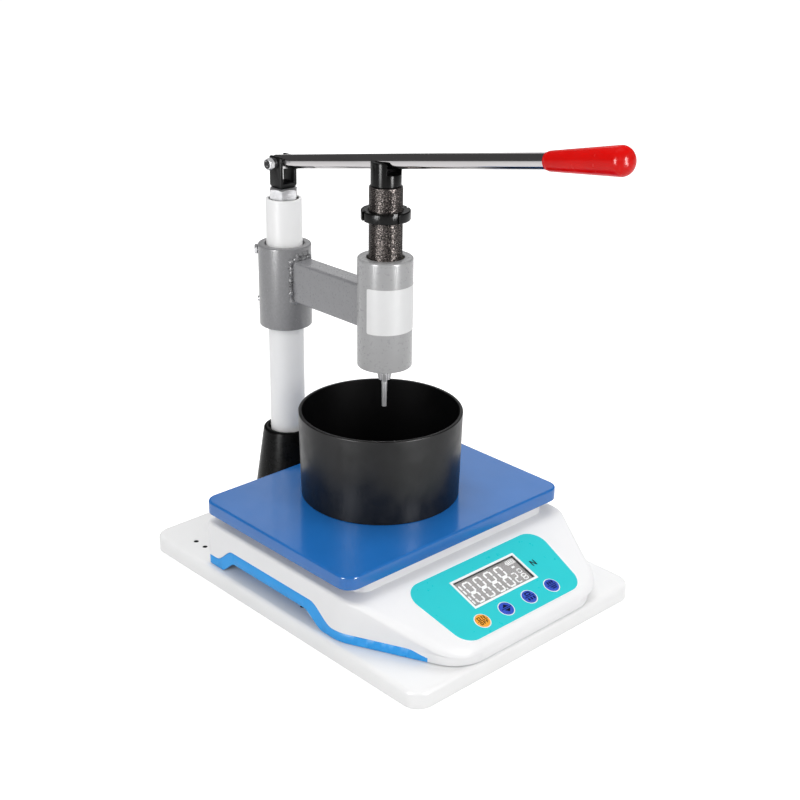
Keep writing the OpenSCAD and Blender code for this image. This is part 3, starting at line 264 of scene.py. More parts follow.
# Shapes, each a list of points and a list of faces
def circle(r, z, steps, start=0.0):
    """Level ring of points."""
    angles = [TURN * k / steps + start for k in range(steps)]
    return [(r * cos(a), r * sin(a), z) for a in angles]


def lathe(profile, steps, closed=True):
    """Turned shape about the Z axis from (radius, height) points."""
    m = len(profile)
    points = []
    for k in range(steps):
        a = TURN * k / steps
        points += [(r * cos(a), r * sin(a), z) for r, z in profile]
    faces = []
    for k in range(steps):
        a, b = k * m, (k + 1) % steps * m
        for i in range(m if closed else m - 1):
            j = (i + 1) % m
            faces.append((a + i, b + i, b + j, a + j))
    return points, faces


def loft(loops, ends="cap"):
    """Skin over loops with the same number of points; ends are capped, left open, or joined to a ring."""
    n = len(loops[0])
    points = [p for loop in loops for p in loop]
    faces = []
    count = len(loops)
    for i in range(count if ends == "ring" else count - 1):
        a, b = i * n, (i + 1) % count * n
        for k in range(n):
            j = (k + 1) % n
            faces.append((a + k, a + j, b + j, b + k))
    if ends == "cap":
        faces.append(tuple(range(n - 1, -1, -1)))
        faces.append(tuple(range((count - 1) * n, count * n)))
    return points, faces


def fillet(points, radii, steps, closed=True):
    """Outline with its corners rounded."""
    out = []
    n = len(points)
    for i in range(n):
        p = Vector(points[i])
        r = radii[i] if isinstance(radii, (list, tuple)) else radii
        if r <= 0 or (not closed and i in (0, n - 1)):
            out.append(tuple(p))
            continue
        a = Vector(points[i - 1]) - p
        b = Vector(points[(i + 1) % n]) - p
        half = a.angle(b) / 2
        back = min(r / tan(half), 0.499 * a.length, 0.499 * b.length)
        a.normalize()
        b.normalize()
        centre = p + (a + b).normalized() * back / cos(half)
        u = p + a * back - centre
        w = p + b * back - centre
        start = atan2(u.y, u.x)
        sweep = (atan2(w.y, w.x) - start + pi) % TURN - pi
        for k in range(steps + 1):
            t = start + sweep * k / steps
            out.append((centre.x + u.length * cos(t), centre.y + u.length * sin(t)))
    return out


def rect(w, d, r, steps):
    return fillet([(w / 2, d / 2), (-w / 2, d / 2), (-w / 2, -d / 2), (w / 2, -d / 2)], max(r, 0.05), steps)


def at_height(loop, z):
    return [(x, y, z) for x, y in loop]


def plate(loop, *heights):
    return loft([at_height(loop, z) for z in heights])


def box(x0, x1, y0, y1, z0, z1):
    return plate([(x0, y0), (x1, y0), (x1, y1), (x0, y1)], z0, z1)


def section(r0, r1, z0, z1):
    """Corners of a tube's wall, or of a rod's half where r0 is 0."""
    return [(r0, z0), (r1, z0), (r1, z1), (r0, z1)]


def rod(r, z0, z1, steps):
    return lathe(section(0, r, z0, z1), steps, False)


def pan(w, d, h, corner, edge, sheet):
    """Folded sheet-metal pan, open below, with rounded corners and edges."""
    def level(inset, z):
        return at_height(rect(w - 2 * inset, d - 2 * inset, corner - inset, 10), z)

    def fold(start, top, r):
        arc = [radians(a) for a in range(0, 91, 15)]
        return [level(start + r * (1 - cos(a)), top - r * (1 - sin(a))) for a in arc]

    inner_edge = max(edge - sheet, 0.6)
    loops = [level(sheet + inner_edge + 1, h - sheet)] + fold(sheet, h - sheet, inner_edge)[::-1]
    loops += [level(sheet, 0.3), level(sheet - 0.3, 0), level(0.3, 0), level(0, 0.3)] + fold(0, h, edge)
    loops += [level(edge + 0.8, h), level(edge + 4, h)]
    return loft(loops)


def hexagon(af, h, bore=0.0, steps=72):
    """Hexagon head or nut with turned chamfers."""
    flat = af / 2
    rim = flat * 0.95
    sixth = pi / 6
    middle = []
    for k in range(steps):
        a = TURN * k / steps
        r = flat / cos((a + sixth) % (pi / 3) - sixth)
        middle.append((r * cos(a + sixth), r * sin(a + sixth), (r - rim) * tan(sixth)))
    loops = [circle(rim, 0, steps, sixth), middle, [(x, y, h - fall) for x, y, fall in middle]]
    loops.append(circle(rim, h, steps, sixth))
    if bore:
        return loft(loops + [circle(bore, z, steps, sixth) for z in (h, 0)], "ring")
    return loft(loops)


def tube(path, radius, sides, closed, rough, ripple, seed):
    """Bead along a path, with an uneven radius."""
    loops = []
    n = len(path)
    turns = [TURN * k / sides for k in range(sides)]
    for i in range(n):
        p = Vector(path[i])
        ahead = Vector(path[(i + 1) % n] if closed else path[min(i + 1, n - 1)])
        behind = Vector(path[i - 1] if closed else path[max(i - 1, 0)])
        along = (ahead - behind).normalized()
        side = along.cross(Vector((0.31, 0.22, 0.92))).normalized()
        lift = side.cross(along)
        r = radius * (1 + rough * noise.noise(p * 0.6 + Vector((seed, 0, 0))) + ripple * sin(i * 1.9))
        loops.append([tuple(p + r * (side * cos(a) + lift * sin(a))) for a in turns])
    return loft(loops, "ring" if closed else "cap")


def joined(*shapes):
    points, faces = [], []
    for p, f in shapes:
        base = len(points)
        points += p
        faces += [tuple(base + i for i in face) for face in f]
    return points, faces


def moved(shape, place):
    return [tuple(place @ Vector(p)) for p in shape[0]], shape[1]


def spun(points, radii, soft, steps, place, closed=True):
    """Turned shape with rounded corners, put in its place."""
    return moved(lathe(fillet(points, radii, soft, closed), steps, closed), place)


def shift(x, y, z):
    return Matrix.Translation((x, y, z))


def turned(angle, axis):
    return Matrix.Rotation(angle, 4, axis)


AT_POST = shift(0, POST_Y, 0)
AT_SPINDLE = shift(0, SPINDLE_Y, 0)
ALONG_X = turned(pi / 2, "Y")
AT_PIVOT = shift(0, POST_Y, PIVOT_Z) @ ALONG_X
AT_PIN = AT_SPINDLE @ shift(0, 0, PIN_Z) @ ALONG_X
ON_LEVER = shift(0, POST_Y, PIVOT_Z) @ turned(-LEVER_TILT, "X") @ turned(pi / 2, "X")
ON_PANEL = shift(0, PANEL_Y, PANEL_Z) @ turned(TILT, "X")
AT_LCD = shift(0, LCD_UP, 0)
AT_KEYS = [shift((i - 1.5) * KEY_PITCH, -KEY_DOWN, 0) for i in range(4)]
SHARP = 38


# Objects
def clean(mesh, angle=SHARP):
    bm = bmesh.new()
    bm.from_mesh(mesh)
    bmesh.ops.remove_doubles(bm, verts=bm.verts, dist=2e-7)
    bmesh.ops.dissolve_degenerate(bm, dist=1e-7, edges=bm.edges)
    bmesh.ops.recalc_face_normals(bm, faces=bm.faces)
    bm.to_mesh(mesh)
    bm.free()
    mesh.shade_smooth()
    mesh.set_sharp_from_angle(angle=radians(angle))


def solid(name, shape, mat, angle=SHARP):
    mesh = bpy.data.meshes.new(name)
    mesh.from_pydata([tuple(c * MM for c in p) for p in shape[0]], [], shape[1])
    clean(mesh, angle)
    if mat:
        mesh.materials.append(mat)
    obj = bpy.data.objects.new(name, mesh)
    scene.collection.objects.link(obj)
    return obj


def bake(obj):
    """Keeps the result of the modifiers as the object's own mesh."""
    old = obj.data
    mesh = bpy.data.meshes.new_from_object(obj.evaluated_get(bpy.context.evaluated_depsgraph_get()))
    obj.modifiers.clear()
    obj.data = mesh
    mesh.name = old.name + "_mesh"
    bpy.data.meshes.remove(old)
    clean(mesh)


def carve(obj, shapes, how="DIFFERENCE", mat=None):
    """Cuts shapes out of an object, or joins them to it; the new faces can have their own material."""
    tools = [solid("tool", s, mat) for s in shapes]
    for tool in tools:
        mod = obj.modifiers.new("cut", "BOOLEAN")
        mod.operation = how
        mod.solver = "EXACT"
        mod.material_mode = "TRANSFER" if mat else "INDEX"
        mod.object = tool
    bake(obj)
    for tool in tools:
        mesh = tool.data
        bpy.data.objects.remove(tool)
        bpy.data.meshes.remove(mesh)


def soften(obj, width):
    mod = obj.modifiers.new("edge", "BEVEL")
    mod.width = width * MM
    mod.segments = 2
    mod.limit_method = "ANGLE"
    mod.angle_limit = radians(32)
    bake(obj)


def keep(obj, slot, *instead, body="stand"):
    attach(obj, body)
    if instead:
        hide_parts(*instead)


def piece(name, shape, mat, slot, *instead, body="stand", angle=SHARP):
    keep(solid(name, shape, mat, angle), slot, *instead, body=body)


# Base plate
base = solid("base_pan", moved(pan(BASE_W, BASE_D, BASE_H, BASE_CORNER, BASE_EDGE, BASE_SHEET),
                               shift(BASE_X, BASE_Y, 0)), WHITE_PAINT)
hole_places = [shift(x * HOLE_SPAN / 2, y + t * HOLE_PITCH / 2, 0)
               for x in (-1, 1) for y in (HOLE_REAR, -HOLE_FRONT) for t in (-1, 1)]
carve(base, [joined(*[moved(rod(HOLE_D / 2, 5, 20, 32), place) for place in hole_places])])
keep(base, "white_paint", "base_plate")
# Black plugs fill the base's holes up to just under its top: painted shade, a dark fill standing in for the
# shade inside the holes.
under = BASE_H - BASE_SHEET
stem_r, stem_top = HOLE_D / 2 - 0.02, BASE_H - 0.3
shade_plug = fillet([(0, under - 2), (3.6, under - 2), (3.6, under - 0.05), (stem_r, under - 0.05),
                  (stem_r, stem_top), (0, stem_top)], [0, 0.4, 0.2, 0, 0.3, 0], 3, False)
shade_plugs = joined(*[moved(lathe(shade_plug, 32, False), place) for place in hole_places])
piece("hole_shade_plugs", shade_plugs, RUBBER, "black_rubber")

# Post with its socket, plug and lock nut
boot_top = BASE_H + SOCKET_H
boot = [(SOCKET_SEAT, BASE_H), (SOCKET_FOOT, BASE_H), (SOCKET_TOP, boot_top), (SOCKET_SEAT + 2.3, boot_top),
        (SOCKET_SEAT + 2.0, boot_top - 7), (SOCKET_SEAT, boot_top - 7)]
boot = spun(boot, [0.2, 1.2, 2.8, 0.9, 0.8, 0.2], 6, 112, AT_POST)
piece("post_boot", boot, BLACK_GLOSS, "black_gloss", "post_socket")
pipe = spun(section(POST_BORE, POST_R, BASE_H, POST_TOP), [0.2, 0.3, 0.7, 0.5], 4, 96, AT_POST)
piece("post_pipe", pipe, POST_PAINT, "white_paint", "post_tube")
# The plug's dark grey is painted shade: it stands for the dark gap round the lock nut in the tube's mouth.
plug = spun(section(SHANK_SEAT, POST_BORE - 0.1, PLUG_LOW, PLUG_TOP), 0.6, 3, 80, AT_POST)
piece("post_insert", plug, DARK_ZINC_AND_SHADE, "zinc_steel", "post_plug")
lock = moved(hexagon(LOCK_AF, LOCK_H, SHANK_SEAT), AT_POST @ shift(0, 0, PLUG_TOP) @ turned(LOCK_TURN, "Z"))
piece("clevis_lock_nut", lock, ZINC, "zinc_steel", "lock_nut")

# Clevis and pivot
clevis_insets = ((1.8, CLEVIS_BOTTOM), (1.4, CLEVIS_BOTTOM), (0, CLEVIS_BOTTOM + 2.8), (0, CLEVIS_TOP - 1.2),
                 (0.35, CLEVIS_TOP - 0.35), (1.2, CLEVIS_TOP))
clevis = loft([at_height(rect(CLEVIS_W - 2 * i, CLEVIS_D - 2 * i, 1.2, 3), z) for i, z in clevis_insets])
clevis = solid("clevis_fork", moved(clevis, AT_POST), BLACK_STEEL)
slot_cut = box(-CLEVIS_SLOT / 2, CLEVIS_SLOT / 2, -20, 20, CLEVIS_FLOOR, CLEVIS_TOP + 5)
pivot_cut = moved(rod(PIVOT_D / 2 + 0.05, -20, 20, 32), shift(0, 0, PIVOT_Z) @ ALONG_X)
carve(clevis, [moved(slot_cut, AT_POST), moved(pivot_cut, AT_POST)])
soften(clevis, 0.45)
carve(clevis, [moved(rod(7, 312, CLEVIS_BOTTOM + 1, 64), AT_POST)], "UNION")
keep(clevis, "black_steel", "clevis")

ear = CLEVIS_W / 2
head_face, nut_face = ear + WASHER_T, -ear - WASHER_T - 7.0
bolt = fillet(section(0, PIVOT_D / 2, nut_face, head_face + 0.2), [0, 0.5, 0, 0], 3, False)
bolt = joined(moved(hexagon(HEAD_AF, 3.4), shift(0, 0, head_face)), lathe(bolt, 48, False))
piece("pivot_screw", moved(bolt, AT_PIVOT), PALE_ZINC, "zinc_steel", "pivot_bolt")
# Dark disc over the pivot nut's end face, with painted glints as light flecks.
tip = [(0, nut_face - 0.3), (3.9, nut_face - 0.3), (4.2, nut_face + 0.2), (0, nut_face + 0.2)]
piece("pivot_nut_end_patch", moved(lathe(tip, 48, False), AT_PIVOT), NUT_END_PATCH, "zinc_steel")
washer = section(WASHER_BORE, PIVOT_D, 0, WASHER_T)
washer_faces = (-ear - 2 * WASHER_T, -ear - WASHER_T, ear)
washers = joined(*[spun(washer, 0.25, 2, 48, shift(0, 0, z)) for z in washer_faces])
piece("pivot_rings", moved(washers, AT_PIVOT), DARK_ZINC_AND_SHADE, "zinc_steel", "pivot_washers")
nut = moved(hexagon(9.6, 5.2, WASHER_BORE), shift(0, 0, nut_face))
piece("pivot_hex_nut", moved(nut, AT_PIVOT), PALE_ZINC, "zinc_steel", "pivot_nut")

# Welded bracket
collar = [(SOCKET_SEAT, COLLAR_LOW), (COLLAR_R, COLLAR_LOW), (COLLAR_R, COLLAR_HIGH),
          (SOCKET_SEAT + 1.7, COLLAR_HIGH), (SOCKET_SEAT + 1.5, COLLAR_HIGH - 8),
          (SOCKET_SEAT, COLLAR_HIGH - 8)]
collar = spun(collar, [0.5, 1.3, 1.6, 0.7, 0.5, 0.2], 6, 112, AT_POST)
piece("collar", collar, COLLAR_PAINT, "grey_paint", "post_collar")

at_screw = [AT_POST @ shift(0, 0, COLLAR_HIGH - drop) @ turned(SCREW_TURN, "Z") @ ALONG_X
            for drop in SCREW_DROPS]
shank = [(0, SOCKET_SEAT), (SCREW_R, SOCKET_SEAT), (SCREW_R, COLLAR_R + 1.5), (1.4, COLLAR_R + 1.5),
         (1.4, COLLAR_R - 0.6), (0, COLLAR_R - 0.6)]
shank = spun(shank, [0, 0.3, 0.4, 0.2, 0, 0], 3, 40, at_screw[1], False)
head = moved(hexagon(HEAD_AF, 3), shift(0, 0, COLLAR_R + 0.05))
upper_shank = rod(SCREW_R, SOCKET_SEAT, COLLAR_R + 0.4, 40)
screws = joined(moved(head, at_screw[0]), moved(upper_shank, at_screw[0]), shank)
piece("collar_bolts", screws, ZINC, "zinc_steel", "collar_screws")

arm_outline = rect(ARM_W, ARM_HIGH - ARM_LOW, ARM_EDGE, 6)
arm = loft([[(x, y, ARM_MID + z) for x, z in arm_outline] for y in (SPINDLE_Y, POST_Y)])
arm = solid("bracket_arm", arm, ARM_PAINT)
carve(arm, [moved(rod(r - 0.02, 200, 300, 112), place)
            for r, place in ((COLLAR_R, AT_POST), (SLEEVE_R, AT_SPINDLE))])
keep(arm, "grey_paint", "arm")

sleeve = section(SLEEVE_BORE, SLEEVE_R, SLEEVE_LOW, SLEEVE_HIGH)
sleeve = spun(sleeve, [0.6, 1.0, 1.7, 1.0], 6, 112, AT_SPINDLE)
piece("sleeve", sleeve, SLEEVE_PAINT, "grey_paint", "spindle_sleeve")


def weld_path(radius, centre_y, side, grow):
    """Line where the arm's outline meets a cylinder."""
    loop = rect(ARM_W + 2 * grow, ARM_HIGH - ARM_LOW + 2 * grow, ARM_EDGE + grow, 6)
    dense = []
    for i in range(len(loop)):
        a, b = Vector(loop[i]), Vector(loop[(i + 1) % len(loop)])
        parts = max(1, round((b - a).length / 1.1))
        dense += [a.lerp(b, k / parts) for k in range(parts)]
    return [(p.x, centre_y + side * sqrt(radius ** 2 - p.x ** 2), ARM_MID + p.y) for p in dense]


noise.seed_set(WELD_SEED)
seam = [Vector(p) for p in weld_path(COLLAR_R + 0.4, POST_Y, -1, 1.3)]
seam = [tuple(p + noise.noise_vector(p * 0.45) * 1.1) for p in seam]
bead = tube(seam, 1.9, 10, True, 1.0, 0.16, 3.0)
over = [Vector((x, POST_Y - sqrt(COLLAR_R ** 2 - x * x) + 0.6, ARM_HIGH + 4.6)) for x in range(-6, 10)]
over = [tuple(p + noise.noise_vector(p * 0.5) * 1.2) for p in over]
bead = joined(bead, tube(over, 2.3, 10, False, 1.0, 0.16, 7.0))
blob = [(2.9 * cos(radians(a)), 2.9 * sin(radians(a))) for a in range(-90, 91, 15)]
blob_x = -ARM_W / 2 - 1.0
blob_y = POST_Y - sqrt(COLLAR_R ** 2 - blob_x ** 2) - 0.4
blob = moved(lathe(blob, 24, False), shift(blob_x, blob_y, ARM_HIGH - 0.5))
piece("collar_weld", joined(bead, blob), COLLAR_PAINT, "grey_paint", angle=60)
bead = tube(weld_path(SLEEVE_R + 0.2, SPINDLE_Y, 1, 0.2), 1.0, 8, True, 0.3, 0.08, 9.0)
piece("sleeve_weld", bead, SLEEVE_PAINT, "grey_paint", angle=60)


# Blank label round the sleeve
def on_sleeve(u, v, r):
    a = LABEL_START + (u + LABEL_LEN / 2) / LABEL_R
    return (r * cos(a), r * sin(a), (LABEL_LOW + LABEL_HIGH) / 2 + v)


def label_shape():
    """Strip of columns between the label's upper and lower edges."""
    half_u, half_v, r = LABEL_LEN / 2, (LABEL_HIGH - LABEL_LOW) / 2, 1.6
    face = LABEL_R + LABEL_T
    us = [-half_u + r * (1 - cos(radians(a))) for a in range(0, 91, 15)]
    us += [-half_u + r + (LABEL_LEN - 2 * r) * k / 48 for k in range(1, 48)]
    us += [-u for u in us[6::-1]]
    loops = []
    for u in us:
        into = max(0.0, abs(u) - (half_u - r))
        top = half_v - r + sqrt(max(r * r - into * into, 0.0))
        corners = ((-top, LABEL_R), (-top, face), (top, face), (top, LABEL_R))
        loops.append([on_sleeve(u, v, out) for v, out in corners])
    return loft(loops)


piece("sleeve_label", moved(label_shape(), AT_SPINDLE), LABEL_WHITE, "white_paint")

# Lever and handle
lever = section(0, LEVER_R, -LEVER_TAIL, HANDLE_START + HANDLE_BORE)
lever = solid("lever_rod", spun(lever, [0, 1.2, 0.5, 0], 5, 72, ON_LEVER, False), LEVER_STEEL)
slot_box = box(-10, 10, 1.2, 4.8, PIN_ALONG - 2.3, PIN_ALONG + 3.4)
lever_hole = moved(rod(PIVOT_D / 2 + 0.05, -10, 10, 32), ALONG_X)
carve(lever, [moved(slot_box, ON_LEVER @ Matrix.Scale(-1, 4, (0, 1, 0))), moved(lever_hole, ON_LEVER)])
keep(lever, "black_steel", "lever_bar", body="lever")

swell = HANDLE_LEN - 0.85 * HANDLE_R
mouth_r = 3.2
grip = [(LEVER_R + 0.05, HANDLE_BORE), (LEVER_R + 0.05, 0.3), (LEVER_R + 0.5, 0)]
for d in range(20, 91, 10):
    a = radians(d)
    grip.append((HANDLE_NECK - mouth_r * (1 - sin(a)), mouth_r * (1 - cos(a))))
for k in range(1, 10):
    t = k / 10
    grip.append((HANDLE_NECK + (HANDLE_R - HANDLE_NECK) * t ** 0.97, mouth_r + (swell - mouth_r) * t))
for d in range(0, 90, 6):
    a = radians(d)
    grip.append((HANDLE_R * cos(a) ** 0.92, swell + (HANDLE_LEN - swell) * sin(a)))
grip += [(0, HANDLE_LEN), (0, HANDLE_BORE)]
grip = moved(lathe(grip, 80), ON_LEVER @ shift(0, 0, HANDLE_START))
piece("handle", grip, RED_GRIP, "red_grip", "handle_grip", body="lever", angle=50)


# Spindle
def thread(z0, z1, low_r, high_r):
    """Threaded length, from the end face at low_r to the end face at high_r."""
    loops = [circle(low_r, z0, THREAD_SIDES)]
    rows = round((z1 - z0) / THREAD_ROW)
    for i in range(1, rows):
        z = z0 + i * THREAD_ROW
        fade = min(1.0, (i + 1) / 6, (rows - i) / 6)
        loop = []
        for k in range(THREAD_SIDES):
            a = TURN * k / THREAD_SIDES
            t = (z / THREAD_PITCH - k / THREAD_SIDES) % 1
            r = THREAD_R - THREAD_DEPTH * (abs(2 * t - 1) * fade + 1 - fade)
            loop.append((r * cos(a), r * sin(a), z))
        loops.append(loop)
    return loops + [circle(high_r, z1, THREAD_SIDES)]


screw = [circle(SPINDLE_BORE, z, THREAD_SIDES) for z in (SPINDLE_LOW + 14.05, SPINDLE_LOW)]
screw += thread(SPINDLE_LOW, PLAIN_LOW, 12.6, THREAD_R - 0.6)
screw += thread(PLAIN_HIGH, FORK_LOW, THREAD_R - 0.6, NECK_R - 0.6)
screw = moved(loft(screw), AT_SPINDLE)
piece("spindle_screw", screw, THREAD_STEEL, "spindle_steel", "spindle", body="spindle", angle=60)
neck = [(0, FORK_LOW), (NECK_R - 0.7, FORK_LOW), (NECK_R, FORK_LOW + 1), (NECK_R, FORK_TOP), (0, FORK_TOP)]
neck = solid("spindle_neck", spun(neck, [0, 0.2, 0.5, 0.6, 0], 3, 96, AT_SPINDLE, False), NECK_STEEL)
carve(neck, [moved(box(-FORK_SLOT / 2, FORK_SLOT / 2, -30, 30, FORK_FLOOR, FORK_TOP + 5), AT_SPINDLE),
             moved(rod(PIN_R + 0.05, -20, 20, 24), AT_PIN)])
soften(neck, 0.3)
keep(neck, "spindle_steel", body="spindle")
dowel = spun(section(0, PIN_R, -PIN_HALF, PIN_HALF), [0, 0.4, 0.4, 0], 3, 32, AT_PIN, False)
piece("fork_dowel", dowel, BLACK_STEEL, "bright_steel", "fork_pin", body="spindle")

ring = section(THREAD_R + 0.05, NUT_R, NUT_LOW, NUT_LOW + NUT_H)
ring = solid("stop_ring", spun(ring, [0.8, 1.1, 1.1, 0.8], 3, 112, AT_SPINDLE), NUT_STEEL)
notch = box(NUT_R - 2.6, NUT_R + 5, -2.5, 2.5, NUT_LOW - 5, NUT_LOW + 15)
carve(ring, [moved(notch, AT_SPINDLE @ turned(radians(90 * k - 107), "Z")) for k in range(4)])
soften(ring, 0.35)
keep(ring, "black_steel", "stop_nut", body="stop_nut")

chuck_in, chuck_face = CHUCK_LOW + CHUCK_DEEP, SPINDLE_LOW - 0.02
chuck = [(6.7, chuck_in), (6.7, CHUCK_LOW + 3), (CHUCK_R - 3.5, CHUCK_LOW + 3), (CHUCK_R, CHUCK_LOW + 6.5),
         (CHUCK_R, chuck_face), (6, chuck_face), (6, SPINDLE_LOW + 14), (0, SPINDLE_LOW + 14), (0, chuck_in)]
chuck = spun(chuck, [0, 0.4, 0.5, 0.8, 0.6, 0, 0.4, 0, 0], 4, 96, AT_SPINDLE)
piece("chuck", chuck, BLACK_STEEL, "black_steel", "chuck_body", body="spindle")

jaw = [(JAW_IN, JAW_TIP), (JAW_OUT - 1.7, JAW_TIP), (JAW_OUT, CHUCK_LOW - 0.5), (JAW_OUT, chuck_in),
       (JAW_IN, chuck_in)]
jaw = loft([[(x, y, z) for x, z in jaw] for y in (-JAW_HALF, JAW_HALF)])
jaws = joined(*[moved(jaw, AT_SPINDLE @ turned(radians(a), "Z")) for a in (-133, -13, 107)])
jaws = solid("jaws", jaws, JAW_STEEL)
soften(jaws, 0.35)
keep(jaws, "spindle_steel", "chuck_jaws", body="spindle")
needle = [(0, NEEDLE_TIP), (2.2, NEEDLE_TIP), (2.5, JAW_TIP), (2.5, chuck_in), (0, chuck_in)]
needle = spun(needle, [0, 0.3, 3, 0.2, 0], 4, 64, AT_SPINDLE, False)
piece("needle_pin", needle, BRIGHT_STEEL, "bright_steel", "needle", body="spindle")

# Scale case: lofted shell
REAR_N, FLANK_N, TAPER_N, FRONT_N, ARC_N = 8, 30, 18, 8, 10
REAR_R, BEND_R, FRONT_R, FRONT_R_HIGH = 6.0, 40.0, 36.0, 33.0
SKIRT, SKIRT_LOW, FLANK_LOW, EDGE_REACH = 0.6, 17.0, 25.0, 8.0
NECK_W, NECK_D, NECK_CORNER, PAD_X, PAD_Y = 232, 186, 14, 90, 65


def case_half(half, taper_start, inset, front_r=FRONT_R):
    """Right half of the case's outline, from the middle of the rear to the middle of the front."""
    front_half = half - (CASE_FRONT - taper_start) * tan(TAPER)
    corners = ((0, CASE_REAR), (half, CASE_REAR), (half, -taper_start), (front_half, -CASE_FRONT),
               (0, -CASE_FRONT))
    corners = [Vector(p) for p in corners]
    normals = [Vector(p) for p in ((0, -1), (-1, 0), (-cos(TAPER), sin(TAPER)), (0, 1))]
    bent = [corners[0] + normals[0] * inset]
    for i in (1, 2, 3):
        m, n = normals[i - 1], normals[i]
        bent.append(corners[i] + (m + n) * inset / (1 + m.dot(n)))
    bent.append(corners[4] + normals[3] * inset)
    radii = [0] + [max(r - inset, 0.3) for r in (REAR_R, BEND_R, front_r)] + [0]
    rounded = fillet([tuple(p) for p in bent], radii, ARC_N, False)
    starts = [1 + i * (ARC_N + 1) for i in range(3)]
    arcs = [rounded[0:1]] + [rounded[s:s + ARC_N + 1] for s in starts] + [rounded[-1:]]
    out = [Vector(rounded[0])]
    for count, arc, before in zip((REAR_N, FLANK_N, TAPER_N, FRONT_N), arcs[1:], arcs[:-1]):
        a, b = Vector(before[-1]), Vector(arc[0])
        out += [a.lerp(b, k / count) for k in range(1, count)]
        out += [Vector(p) for p in arc]
    return out


def with_left(right):
    """Whole loop from its right half."""
    return right + [(-x, y, z) for x, y, z in right[-2:0:-1]]


def top_height(y):
    """Height of the ledge and of the sloping front panel."""
    soft = 3.0
    d = SLOPE_Y - y
    slope = tan(TILT)
    if d <= -soft:
        return LEDGE_Z
    if d >= soft:
        return LEDGE_Z - slope * d
    return LEDGE_Z - slope * (d + soft) ** 2 / (4 * soft)


def smooth(t):
    t = min(max(t, 0.0), 1.0)
    return t * t * (3 - 2 * t)


def edge_radius(y):
    """Radius of the case's upper edge: tight at the ledge, wide at the front."""
    return 2.8 + 4.2 * smooth((-70 - y) / 90)


def case_level(lean, inset, height):
    """Loop round the case: lean 0 is the outline at the trim, 1 the one at the upper edge."""
    low = case_half(CASE_HALF, TAPER_LOW, inset)
    high = case_half(CASE_HALF_HIGH, TAPER_HIGH, inset, FRONT_R_HIGH)
    line = [a.lerp(b, lean) for a, b in zip(low, high)]
    return with_left([(p.x, p.y, height(p.y)) for p in line])


def edge_level(angle, wall, drop):
    """Loop on the rounded upper edge; the inset follows the edge's own radius."""
    near = case_half(CASE_HALF_HIGH, TAPER_HIGH, wall, FRONT_R_HIGH)
    deep = case_half(CASE_HALF_HIGH, TAPER_HIGH, wall + EDGE_REACH, FRONT_R_HIGH)
    right = []
    for p, q in zip(near, deep):
        r = edge_radius(p.y) - 0.35 * wall
        s = p.lerp(q, r * (1 - cos(angle)) / EDGE_REACH)
        right.append((s.x, s.y, top_height(s.y) - drop - r * (1 - sin(angle))))
    return with_left(right)


def case_shell():
    wall, thick = 4.5, 2.5
    foot = PARTING_Z + 0.02

    def flat(inset, z):
        return case_level(0, inset, lambda y: z)

    def rising(lean, inset, drop):
        def height(y):
            high = top_height(y) - drop - (edge_radius(y) - 0.35 * inset)
            return max(FLANK_LOW + (high - FLANK_LOW) * lean, foot + 0.5)
        return case_level(lean, inset, height)

    outer = [flat(SKIRT, SKIRT_LOW), flat(-0.05, SKIRT_LOW), flat(-0.2, SKIRT_LOW + 0.25)]
    outer.append(case_level(0, -0.2, lambda y: min(FLANK_LOW, top_height(y) - edge_radius(y))))
    outer += [rising(t, -0.2 * (1 - t), 0) for t in (0.25, 0.5, 0.75)]
    outer += [edge_level(radians(a), 0, 0) for a in range(0, 91, 10)]
    inner = [flat(SKIRT, foot), flat(wall, foot), rising(0.5, wall, thick)]
    inner += [edge_level(a, wall, thick) for a in (0, pi / 4, pi / 2)]
    points, faces = loft(inner[::-1] + outer, "open")
    n = len(outer[0])
    half = n // 2

    def ladder(start, flip):
        rungs = [(start + k, start + (n - k) % n) for k in range(half + 1)]
        for (a, b), (c, d) in zip(rungs, rungs[1:]):
            quad = [a, b, d, c]
            quad = [q for i, q in enumerate(quad) if q not in quad[:i]]
            faces.append(tuple(quad[::-1] if flip else quad))

    ladder(0, True)
    ladder(len(points) - n, False)
    return points, faces


def neck_block(inset, z0, z1):
    levels = ((inset, z0), (inset, z1 - 1.5), (inset + 0.45, z1 - 0.45), (inset + 1.5, z1))
    return loft([at_height(rect(NECK_W - 2 * i, NECK_D - 2 * i, NECK_CORNER - i, 8), z) for i, z in levels])


def lcd_box(grow, low):
    """Block through the display's opening, grown on all sides."""
    w, h = LCD_W / 2 + grow, LCD_H / 2 + grow
    return box(-w, w, LCD_UP - h, LCD_UP + h, low, 3)


recess_side = [(99, -2), (79, CASE_LOW), (66, RECESS_TOP), (-38, RECESS_TOP), (-57, CASE_LOW), (-77, -2)]


def recess_cut(x0, x1):
    return loft([[(x, y, z) for y, z in recess_side] for x in (x0, x1)])


case = solid("case_top", case_shell(), CASE_WHITE)
carve(case, [neck_block(0, LEDGE_Z - 2, NECK_TOP)], "UNION")
cuts = [neck_block(2.5, LEDGE_Z - 8, NECK_TOP - 2.5), moved(lcd_box(LCD_FRAME, -6), ON_PANEL)]
cuts += [moved(rod(KEY_R + 0.1, -6, 3, 40), ON_PANEL @ place) for place in AT_KEYS]
cuts += [moved(rod(11, 55, 90, 48), shift(x, y, 0)) for x in (-PAD_X, PAD_X) for y in (-PAD_Y, PAD_Y)]
cuts += [moved(rod(4.1, -2, 8, 32), shift(-60, CASE_REAR, 36) @ turned(pi / 2, "X"))]
carve(case, cuts)
carve(case, [recess_cut(RECESS_X, 140), recess_cut(-140, -RECESS_X)], mat=TRIM_BLUE)

